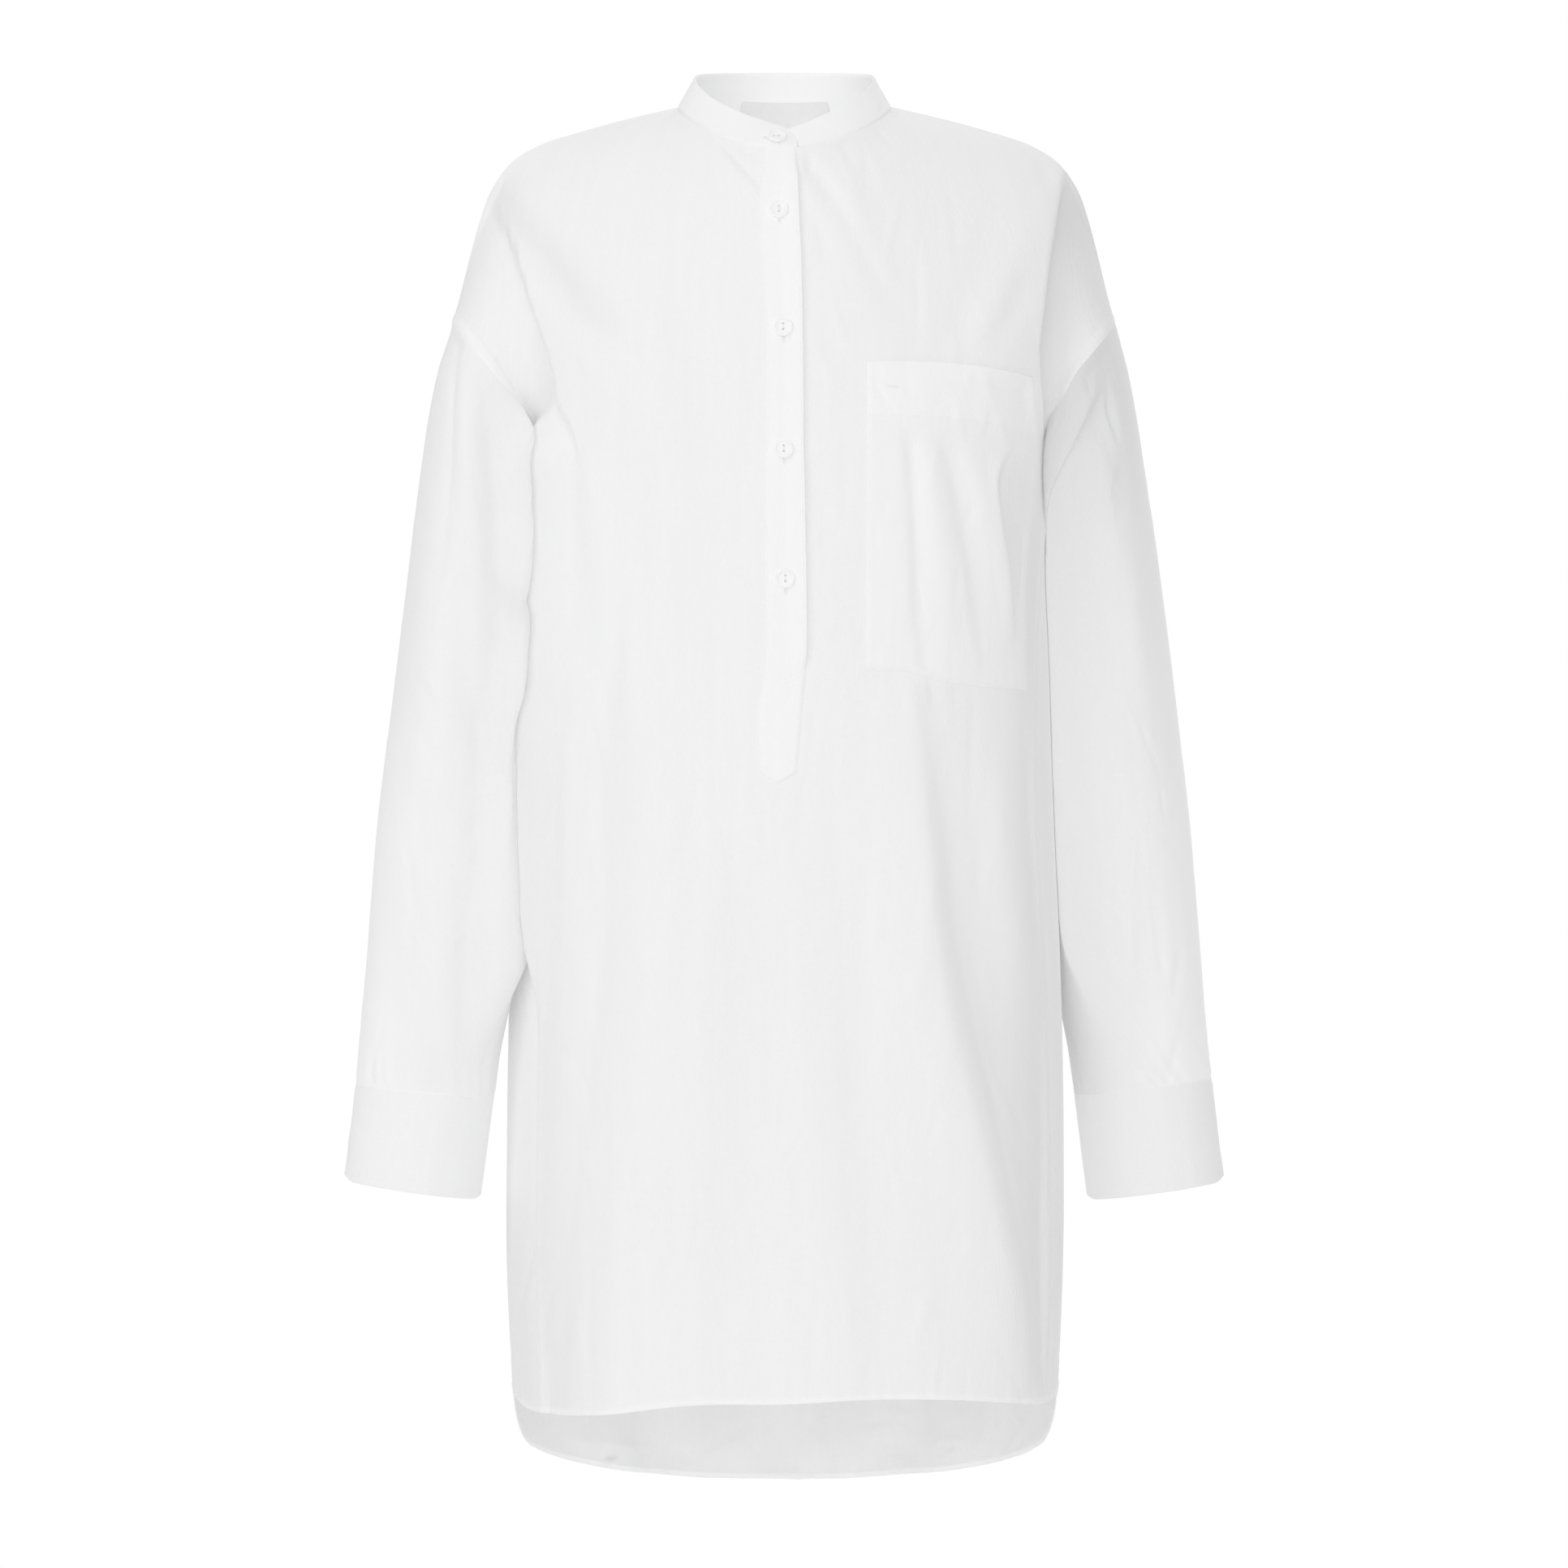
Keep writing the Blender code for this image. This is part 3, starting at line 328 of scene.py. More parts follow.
# %% Sizes of the body
NECK_HALF, NECK_Y = 0.0724, -0.004
NECK_FRONT_Y, NECK_FRONT_Z = -0.082, -0.0367
NECK_BACK_Y, NECK_BACK_Z = 0.064, 0.003
NECK_SCOOP = 0.45                       # how round the front of the neck seam is
SEAM_END = (0.2252, 0.005, -0.1467)     # the shoulder seam meets the sleeve
UNDERARM_Z = -0.225
UNDERARM_X = {-1: 0.1665, 1: 0.1735}
UNDERARM_Y = {-1: 0.010, 1: -0.008}
CHEST_Z = -0.262
SHOULDER_COLUMNS, NECK_COLUMNS, FAN_SHARE = 10, 7, 0.47
SHOULDER_ROWS, CHEST_ROWS, BODY_ROWS = 6, 5, 16
SLIT_END_Z, SLIT_HALF = -0.385, 0.0008

SHOULDER_OUTLINE = [
    # half_width, z
    (0.0724, 0.0000), (0.1053, -0.0074), (0.1378, -0.0160), (0.1682, -0.0260),
    (0.1820, -0.0340), (0.1930, -0.0450), (0.2025, -0.0640), (0.2092, -0.0851),
    (0.2190, -0.1236), (0.2252, -0.1467),
]

BODY_RINGS = [
    # z, half width on the right, and on the left, front_depth, back_depth, squareness
    (-0.225, 0.1665, 0.1735, 0.124, 0.112, 2.10),
    (-0.262, 0.1738, 0.1782, 0.127, 0.114, 2.15),
    (-0.320, 0.1775, 0.1786, 0.130, 0.117, 2.20),
    (-0.370, 0.1797, 0.1792, 0.131, 0.119, 2.25),
    (-0.480, 0.1828, 0.1816, 0.133, 0.124, 2.30),
    (-0.590, 0.1860, 0.1862, 0.134, 0.129, 2.30),
    (-0.700, 0.1882, 0.1882, 0.135, 0.132, 2.35),
    (-0.780, 0.1885, 0.1880, 0.135, 0.134, 2.35),
    (-0.870, 0.1845, 0.1845, 0.135, 0.135, 2.35),
    (-0.950, 0.1805, 0.1805, 0.135, 0.135, 2.35),
]

UPPER_ROWS = {
    # (side, face): half_width, depth, z
    (-1, "front"): [(0.1926, 0.062, -0.186), (0.177, 0.055, -0.184), (0.163, 0.053, -0.181),
                    (0.146, 0.070, -0.178), (0.120, 0.091, -0.174), (0.085, 0.107, -0.171),
                    (0.045, 0.1165, -0.170), (0.0, 0.119, -0.170)],
    (1, "front"): [(0.1950, 0.058, -0.184), (0.185, 0.048, -0.184), (0.175, 0.047, -0.183),
                   (0.165, 0.062, -0.181), (0.140, 0.088, -0.176), (0.100, 0.105, -0.172),
                   (0.050, 0.1160, -0.170), (0.0, 0.119, -0.170)],
    (-1, "back"): [(0.1926, 0.073, -0.186), (0.175, 0.075, -0.182), (0.158, 0.083, -0.177),
                   (0.132, 0.096, -0.170), (0.100, 0.105, -0.165), (0.055, 0.1115, -0.160),
                   (0.0, 0.113, -0.160)],
    (1, "back"): [(0.1950, 0.076, -0.184), (0.177, 0.078, -0.182), (0.159, 0.085, -0.177),
                  (0.132, 0.097, -0.170), (0.100, 0.105, -0.165), (0.055, 0.1115, -0.160),
                  (0.0, 0.113, -0.160)],
}

SIDE_SEAM = [
    # z, degrees ahead of the widest line on the wearer's right, and on the left
    (-0.225, 0, 0), (-0.262, 8, 8), (-0.320, 19, 18), (-0.400, 27, 24),
    (-0.600, 32, 25), (-0.950, 32, 23),
]

HEM = [
    # degrees from the centre front, z on the wearer's right, z on the wearer's left
    (0, -0.8620, -0.8620), (20, -0.8645, -0.8593), (35, -0.8710, -0.8610),
    (50, -0.8755, -0.8652), (66, -0.8746, -0.8692), (78, -0.8690, -0.8665),
    (88, -0.8680, -0.8655), (97, -0.8900, -0.8885), (106, -0.9070, -0.9055),
    (119, -0.9205, -0.9190), (135, -0.9333, -0.9320), (162, -0.9454, -0.9446),
    (180, -0.9472, -0.9472),
]


# %% Form of the body
def neck_seam(turn):
    """Points of the neck seam; turn is in degrees from the centre front, past the
    wearer's right (90), the back (180) and the wearer's left (270)."""
    s, c = np.sin(np.radians(turn)), np.cos(np.radians(turn))
    ahead, weight = c > 0, np.abs(c)
    return np.stack([
        -NECK_HALF * s,
        NECK_Y + (np.where(ahead, NECK_FRONT_Y, NECK_BACK_Y) - NECK_Y) * weight,
        np.where(ahead, NECK_FRONT_Z * weight * (1 - NECK_SCOOP + NECK_SCOOP * weight),
                 NECK_BACK_Z * weight)], -1)


def top_edge(side, face):
    """Shoulder seam from the sleeve to the neck, then the neck seam to the centre."""
    half, z = columns(SHOULDER_OUTLINE[::-1])
    share = np.linspace(0, 1, SHOULDER_COLUMNS + 1)
    flat = along(np.stack([half, z], -1), share)
    y = SEAM_END[1] + (NECK_Y - SEAM_END[1]) * share
    seam = np.stack([side * flat[:, 0], y, flat[:, 1]], -1)
    centre = 0 if face == "front" else 180
    neck = neck_seam(np.linspace(90, centre, NECK_COLUMNS + 1)) * (-side, 1, 1)
    seam[-1] = neck[0]
    slope = np.r_[np.zeros(SHOULDER_COLUMNS), np.linspace(0, 1, NECK_COLUMNS + 1)]
    steepest = 32 if face == "front" else 28
    return np.concatenate([seam, neck[1:]]), np.radians(steepest * slope)


def body_point(side, angle, z):
    """Outer point of the body. Angle 0 is the centre front, pi the centre back."""
    ring_z, *ring = columns(BODY_RINGS)
    right, left, front, back, square = (smooth(z, ring_z, column) for column in ring)
    half = right if side < 0 else left
    s, c = np.sin(angle), np.cos(angle)
    reach = (np.abs(s) ** square + np.abs(c) ** square) ** (-1 / square)
    depth = np.where(c > 0, front, back)
    return np.stack([side * half * reach * s,
                     UNDERARM_Y[side] * s - depth * reach * c, z + 0 * s], -1)


def side_angle(side, face, z, share):
    """Angle of a column of a panel; share 0 is the side seam and 1 the centre."""
    knots, right, left = columns(SIDE_SEAM)
    ahead = np.radians(smooth(z, knots, right if side < 0 else left))
    if face == "front":
        return (math.pi / 2 - ahead) * (1 - share)
    return math.pi - (math.pi / 2 + ahead) * (1 - share)


def hem_z(side, angle):
    knots, right, left = columns(HEM)
    return smooth(np.degrees(angle), knots, right if side < 0 else left)


def half_panel(side, face):
    """Coarse points of half a panel: rows from the top down, columns from the side in."""
    top, slope = top_edge(side, face)
    count = len(top)
    share = smooth(np.arange(count), [0, SHOULDER_COLUMNS / 2, SHOULDER_COLUMNS, count - 1],
                   [0, 0.45 * FAN_SHARE, FAN_SHARE, 1])
    fan = ramp(np.arange(count), 3, SHOULDER_COLUMNS)
    toward = -1 if face == "front" else 1
    half, depth, level = columns(UPPER_ROWS[side, face])
    row = along(np.stack([side * half, toward * depth, level], -1), share)
    rows = []
    for turn in np.linspace(0, math.pi / 2, SHOULDER_ROWS + 1):
        start = np.minimum(slope, math.pi / 2 - 0.01)
        at = start + turn / (math.pi / 2) * (math.pi / 2 - start)
        low_y = (top[:, 1] - row[:, 1] * np.sin(start)) / (1 - np.sin(start))
        rise = (top[:, 2] - row[:, 2]) / np.cos(start)
        sideways = ((1 - fan) * (1 - np.cos(at) / np.cos(start))
                    + fan * (np.sin(at) - np.sin(start)) / (1 - np.sin(start)))
        rows.append(np.stack([
            top[:, 0] + (row[:, 0] - top[:, 0]) * sideways,
            low_y + (row[:, 1] - low_y) * np.sin(at),
            row[:, 2] + rise * np.cos(at)], -1))
    chest_z = CHEST_Z + (UNDERARM_Z - CHEST_Z) * fade(share, 0, 0.35)
    chest = body_point(side, side_angle(side, face, chest_z, share), chest_z)
    chest[0] = (side * UNDERARM_X[side], UNDERARM_Y[side], UNDERARM_Z)
    level_share = ramp(share, 0, 0.3)[:, None]
    inside = np.stack([row[:, 0], chest[:, 1], row[:, 2]], -1)
    centre = inside * (1 - level_share) + (row + chest) / 2 * level_share
    for turn in np.linspace(0, math.pi / 2, CHEST_ROWS + 1)[1:]:
        rows.append(centre + (row - centre) * math.cos(turn) + (chest - centre) * math.sin(turn))
    for fall in np.linspace(0, 1, BODY_ROWS + 1)[1:]:
        low = hem_z(side, side_angle(side, face, -0.9 + 0 * share, share))
        z = chest_z + (low - chest_z) * fall
        rows.append(body_point(side, side_angle(side, face, z, share), z))
    return np.array(rows)


def relax(grid, rounds, until):
    """Evens out the inner points of a panel's rows above a row number."""
    for _ in range(rounds):
        inner = (grid[:-2, 1:-1] + grid[2:, 1:-1] + grid[1:-1, :-2] + grid[1:-1, 2:]) / 4
        grid[1:until, 1:-1] += 0.5 * (inner[:until - 1] - grid[1:until, 1:-1])
    return grid


def coarse_panel(face):
    right, left = half_panel(-1, face), half_panel(1, face)
    grid = np.concatenate([right, left[:, -2::-1]], axis=1)
    if face == "back":
        grid = grid[:, ::-1]
    return relax(grid, 6, SHOULDER_ROWS + CHEST_ROWS + 4)


CHEST_ROW = SHOULDER_ROWS + CHEST_ROWS
LAST_COLUMN = 2 * (SHOULDER_COLUMNS + NECK_COLUMNS)
PANEL_ROWS = steps([13] * SHOULDER_ROWS + [8] * CHEST_ROWS + [16] * BODY_ROWS)
SIDE_PARTS = [8, 6] + [5] * (SHOULDER_COLUMNS - 2) + [7] * NECK_COLUMNS
PANEL_COLUMNS = steps(SIDE_PARTS + SIDE_PARTS[::-1])


def fine_panel(face):
    return finer(coarse_panel(face), PANEL_ROWS, PANEL_COLUMNS, (CHEST_ROW,),
                 (SHOULDER_COLUMNS, LAST_COLUMN - SHOULDER_COLUMNS))


front_form, back_form = fine_panel("front"), fine_panel("back")
print("front and back:", front_form.shape, back_form.shape)

# %% [markdown]
# ## The sleeves' form
# Each sleeve is a tube set into the dropped armhole. Its first ring is the armhole itself,
# read off the two panels, so that cloth meets cloth along the seam. The other rings are
# leaning ovals down to the cuff. The cuff continues them and laps over itself behind.

# %% Sizes of the sleeves
SLEEVE_RINGS = {
    # side: z_outer, x_outer, z_inner, x_inner, y, half_depth
    -1: [(-0.1850, 0.2349, -0.2540, 0.1723, -0.015, 0.0655),
         (-0.2400, 0.2430, -0.2920, 0.1735, -0.022, 0.0630),
         (-0.3100, 0.2522, -0.3470, 0.1755, -0.026, 0.0600),
         (-0.4000, 0.2635, -0.4220, 0.1790, -0.030, 0.0560),
         (-0.4900, 0.2737, -0.5020, 0.1810, -0.031, 0.0530),
         (-0.5800, 0.2808, -0.5860, 0.1838, -0.032, 0.0500),
         (-0.6250, 0.2848, -0.6330, 0.1905, -0.032, 0.0450),
         (-0.6593, 0.2875, -0.6687, 0.1955, -0.032, 0.0370),
         (-0.7268, 0.2950, -0.7398, 0.2040, -0.033, 0.0360)],
    1: [(-0.1850, 0.2355, -0.2540, 0.1773, 0.012, 0.0655),
        (-0.2400, 0.2452, -0.2920, 0.1776, 0.021, 0.0630),
        (-0.3100, 0.2558, -0.3470, 0.1788, 0.026, 0.0600),
        (-0.4000, 0.2679, -0.4220, 0.1803, 0.028, 0.0560),
        (-0.4900, 0.2778, -0.5020, 0.1825, 0.027, 0.0530),
        (-0.5800, 0.2846, -0.5860, 0.1858, 0.026, 0.0500),
        (-0.6250, 0.2879, -0.6330, 0.1930, 0.022, 0.0450),
        (-0.6593, 0.2909, -0.6687, 0.1977, 0.019, 0.0370),
        (-0.7268, 0.2987, -0.7398, 0.2062, 0.016, 0.0360)],
}
SLEEVE_COARSE_ROWS = 16


# %% Form of the sleeves
def armhole(front, back, last, front_column, back_column):
    """Once round from the shoulder seam by the front, as the panels' edges have it."""
    return np.concatenate([front[:last + 1, front_column], back[last - 1:0:-1, back_column]])


def ring_angles():
    """Angles round a sleeve, from its outer line by the front, as the armhole has them."""
    upper = np.linspace(0, 90, SHOULDER_ROWS + 1)
    lower = np.linspace(90, 180, CHEST_ROWS + 1)[1:]
    half = np.r_[upper, lower]
    return np.radians(np.r_[half, 360 - half[-2:0:-1]])


def sleeve_ring(side, sizes):
    z_out, x_out, z_in, x_in, y_middle, half_depth = sizes
    angle = ring_angles()
    c, s = np.cos(angle), np.sin(angle)
    x = (x_out + x_in) / 2 + (x_out - x_in) / 2 * c
    y = y_middle - half_depth * s
    z = (z_out + z_in) / 2 + (z_out - z_in) / 2 * c
    return np.stack([side * x, y, z], -1)


def coarse_sleeve(side):
    """Rings of one sleeve, each from its outer line by the front."""
    front, back = half_panel(side, "front"), half_panel(side, "back")
    rings = np.array([armhole(front, back, CHEST_ROW, 0, 0)]
                     + [sleeve_ring(side, row) for row in SLEEVE_RINGS[side][:-1]])
    centres = rings.mean(axis=1)
    length = np.r_[0, np.cumsum(np.linalg.norm(np.diff(centres, axis=0), axis=1))]
    places = np.linspace(0, length[-1], SLEEVE_COARSE_ROWS + 1)
    grid = smooth(places, length, rings.reshape(len(rings), -1)).reshape(len(places), -1, 3)
    grid[0], grid[-1] = rings[0], rings[-1]
    return grid


def round_tube(grid, places):
    """Makes closed rings finer: places run from 0 to the number of coarse points."""
    wrapped = np.concatenate([grid[:, -3:], grid, grid[:, :4]], axis=1).transpose(1, 0, 2)
    return down_rows(wrapped, places[:-1] + 3).transpose(1, 0, 2)


def turned(grid, side):
    """Puts each ring's points in order to the right, seen from outside."""
    return grid if side < 0 else np.roll(grid[:, ::-1], 1, axis=1)


HALF_RING_PARTS = [13] * SHOULDER_ROWS + [8] * CHEST_ROWS
RING_PLACES = steps(HALF_RING_PARTS + HALF_RING_PARTS[::-1])
SLEEVE_ROWS = steps([14] + [12] * (SLEEVE_COARSE_ROWS - 1))
FINE_CHEST_ROW = int(np.searchsorted(PANEL_ROWS, CHEST_ROW))


def fine_sleeve(side):
    grid = round_tube(down_rows(coarse_sleeve(side), SLEEVE_ROWS), RING_PLACES)
    front_edge, back_edge = (0, -1) if side < 0 else (-1, 0)
    seam = armhole(front_form, back_form, FINE_CHEST_ROW, front_edge, back_edge)
    away = (seam - grid[0])[None] * fade(SLEEVE_ROWS, 0, 1.5)[:, None, None]
    return turned(grid + away, side)


sleeve_forms = {side: fine_sleeve(side) for side in WORDS}
print("sleeves:", sleeve_forms[-1].shape)

# %% [markdown]
# ## Folds
# Worn poplin has three kinds of fold. A soft fold is a round hollow or ridge. A crease is
# sharper, as where a seam pulls. A lapped fold is where slack cloth steps over itself, as
# at the front of each armhole. Each one is a line of points, seen from the front, with
# its height in millimetres at each point, its side that stands out (1 is +X), and its
# widths toward -X and +X. A camera 3.5 m away sees the near cloth a little larger, so the
# same small enlargement is used to find where a point of the cloth lies in that view.
# The table of painted shades lists places where the cloth's colour is darkened for the shade
# that falls in hollows, under laps and beside the arms. They are read as folds are, with a
# strength in place of the height. The front's tables count in squares of 0.55 mm from the
# view's upper left corner, those of the back in millimetres.

# %% Fold tables
SQUARE = PIXEL * 1000                   # mm, one square of the front view's grid
CENTRE_COLUMN, TOP_LEVEL = 966.5, 73.3  # the column where X is 0, and Z of row 0 in mm


def in_mm(folds):
    """Folds whose points are squares of the front view, to the right and down, in mm."""
    return [(kind, side, right, left,
             [(round((u - CENTRE_COLUMN) * SQUARE, 1), round(TOP_LEVEL - SQUARE * v, 1), height)
              for u, v, height in points]) for kind, side, right, left, points in folds]


FRONT_FOLDS = in_mm([
    # right chest fold, its chest side over the shoulder side
    ("lapped", 1, 22, 45, [(597, 240, 0), (606, 256, 1.2), (628, 299, 3.2), (646, 349, 4.6),
        (660, 390, 5.4), (681, 440, 5.6), (698, 496, 5), (711, 535, 3.6), (719, 566, 0.6)]),
    # left chest fold
    ("lapped", -1, 45, 22, [(1316, 205, 0), (1308, 236, 2), (1300, 278, 3.6), (1291, 330, 4.6),
        (1284, 381, 5.2), (1277, 435, 5), (1279, 461, 4.4), (1284, 500, 3), (1287, 540, 0.6)]),
    # hollow beside the right chest fold
    ("soft", 1, 12, 14, [(602, 236, -2.2), (640, 283, -3.2), (680, 330, -3.6), (712, 375, -3.2),
        (760, 424, -1.6), (790, 450, 0)]),
    # ridge below it
    ("soft", 1, 12, 18, [(718, 560, 2), (735, 640, 2.4), (750, 740, 1.4), (752, 820, 0)]),
    # hollow by the right side
    ("soft", 1, 7, 12, [(672, 560, -1), (668, 660, -2), (672, 760, -2.4), (678, 860, -1.2),
        (680, 900, 0)]),
    # pulls under the collar, right
    ("crease", 1, 4, 7, [(872, 164, 0), (894, 182, -1.9), (918, 208, -2.3), (938, 230, -1)]),
    ("crease", 1, 3, 5, [(898, 172, 0), (914, 184, -1.3), (934, 200, -0.3)]),
    ("soft", 1, 6, 6, [(872, 172, 0), (892, 190, 1), (914, 216, 1.3), (934, 240, 0.4)]),
    # pulls beside the placket
    ("crease", 1, 4, 4, [(936, 300, -0.5), (922, 318, -0.5), (905, 330, 0)]),
    ("crease", 1, 4, 4, [(938, 352, -0.4), (926, 368, -0.5), (914, 372, 0)]),
    # pulls under the collar, left
    ("soft", -1, 8, 5, [(986, 180, -0.8), (1000, 206, -2), (1020, 232, -2), (1037, 258, -1.4),
        (1055, 292, -0.8), (1076, 332, -0.7), (1100, 370, -0.5), (1126, 404, 0)]),
    ("soft", 1, 9, 9, [(984, 214, 0), (1008, 248, 0.7), (1034, 292, 0.8), (1058, 344, 0.5),
        (1078, 392, 0)]),
    ("soft", 1, 12, 12, [(1014, 200, 0), (1044, 240, 0.8), (1068, 290, 0.6), (1094, 340, 0)]),
    ("crease", -1, 5, 4, [(990, 246, -0.3), (998, 262, -0.5), (1017, 300, -0.3), (1024, 316, 0)]),
    ("crease", 1, 3, 3, [(1030, 170, 0), (1042, 186, -0.6), (1056, 214, 0)]),
    ("crease", 1, 3, 3, [(1052, 162, 0), (1062, 180, -0.5), (1070, 204, 0)]),
    ("crease", 1, 3, 3, [(1074, 152, 0), (1088, 168, -0.5), (1106, 184, 0)]),
    ("crease", 1, 3, 3, [(1096, 140, 0), (1130, 150, -0.4), (1172, 166, 0)]),
    # pulls between placket and pocket
    ("soft", 1, 6, 6, [(1010, 395, 0), (1026, 425, -0.9), (1044, 450, 0)]),
    ("soft", 1, 6, 7, [(1000, 560, 0), (1008, 600, -0.8), (1020, 650, -0.5), (1026, 690, 0)]),
    # short crease over the left chest fold
    ("soft", 1, 6, 5, [(1280, 192, 0), (1288, 214, -1.1), (1297, 236, 0)]),
    # hollow beside the ridge under the chest
    ("soft", 1, 8, 11, [(788, 480, 0), (784, 560, -0.9), (776, 650, -1.4), (768, 740, -1.4),
        (752, 830, -1), (742, 900, 0)]),
    # folds beside the right side seam
    ("soft", 1, 5, 6, [(664, 770, 0), (672, 800, -1.4), (682, 850, -1.6), (690, 885, -1),
        (692, 905, 0)]),
    # long trough down the right side
    ("soft", 1, 7, 9, [(768, 740, 0), (758, 800, -1.2), (750, 850, -1.6), (742, 950, -1.8),
        (746, 1050, -1.8), (742, 1150, -2), (735, 1230, -2.2), (727, 1300, -2.2), (721, 1354, -2),
        (711, 1421, -1.8), (700, 1501, -1.6), (694, 1600, -1.2), (684, 1740, -0.8)]),
    ("soft", 1, 16, 20, [(728, 840, 0), (722, 950, -0.5), (726, 1060, -0.6), (722, 1180, -0.8),
        (712, 1290, -0.9), (700, 1421, -0.9), (690, 1560, -0.8), (680, 1740, -0.6)]),
    # crease below the arm, and the small ridge beside it
    ("soft", 1, 4, 6, [(690, 860, 0), (681, 905, -1), (678, 960, -1.3), (682, 1010, -1.2),
        (684, 1100, -1), (683, 1190, -0.6), (680, 1260, 0)]),
    ("soft", 1, 4, 5, [(694, 860, 0), (696, 910, 0.9), (697, 980, 1.1), (696, 1060, 0.8),
        (694, 1110, 0)]),
    # ridge beside it
    ("soft", 1, 20, 26, [(770, 700, 0), (790, 860, 1.6), (800, 1060, 2), (790, 1300, 2.2),
        (770, 1500, 2), (760, 1740, 1.6)]),
    # long ridge from the pocket to the hem
    ("soft", 1, 30, 14, [(1120, 850, 0.6), (1136, 1025, 1.6), (1146, 1162, 1.9), (1166, 1280, 1.9),
        (1190, 1370, 1.9), (1216, 1480, 1.8), (1240, 1590, 1.5), (1252, 1700, 0.8)]),
    # and the trough beside it
    ("soft", 1, 10, 30, [(1148, 880, -0.4), (1168, 1025, -1.3), (1186, 1162, -1.8), (1212, 1280, -2),
        (1234, 1370, -2), (1258, 1480, -1.9), (1276, 1590, -1.4), (1284, 1690, -0.6)]),
    ("soft", 1, 14, 14, [(1230, 900, 0), (1238, 1020, 1.2), (1250, 1160, 1.4), (1262, 1280, 0)]),
    # shallow folds down the middle
    ("soft", 1, 22, 24, [(900, 1020, 0), (912, 1160, -0.9), (905, 1360, -1.2), (898, 1560, -1),
        (896, 1740, -0.8)]),
    ("soft", 1, 20, 20, [(1040, 1000, 0), (1046, 1180, -0.8), (1060, 1400, -1.1), (1078, 1600, -0.9),
        (1086, 1740, -0.6)]),
    ("soft", 1, 16, 18, [(845, 620, 0), (838, 760, -0.8), (842, 900, -0.7), (850, 1010, 0)]),
    ("soft", 1, 18, 18, [(790, 300, 0), (820, 420, -0.9), (850, 560, -1), (870, 700, 0)]),
    ("soft", 1, 13, 13, [(1090, 240, 0), (1106, 300, -0.35), (1112, 370, -0.35), (1114, 425, 0)]),
    # hollows and ridge from the left fold to the pocket
    ("soft", 1, 12, 12, [(1232, 230, 0), (1215, 290, -0.5), (1195, 360, -0.6), (1182, 410, -0.6),
        (1174, 446, 0)]),
    ("soft", 1, 10, 10, [(1292, 232, 0), (1258, 300, 0.6), (1230, 360, 0.8), (1210, 410, 0.7),
        (1198, 442, 0)]),
    ("soft", 1, 8, 9, [(1266, 322, 0), (1250, 370, -1), (1228, 408, -1.1), (1204, 440, 0)]),
    # creases down the left side
    ("crease", 1, 5, 5, [(1290, 690, 0), (1284, 760, -0.8), (1282, 860, -0.6), (1284, 930, 0)]),
    ("soft", 1, 6, 8, [(1274, 880, 0), (1270, 980, -1.2), (1276, 1100, -1.2), (1284, 1200, 0)]),
])

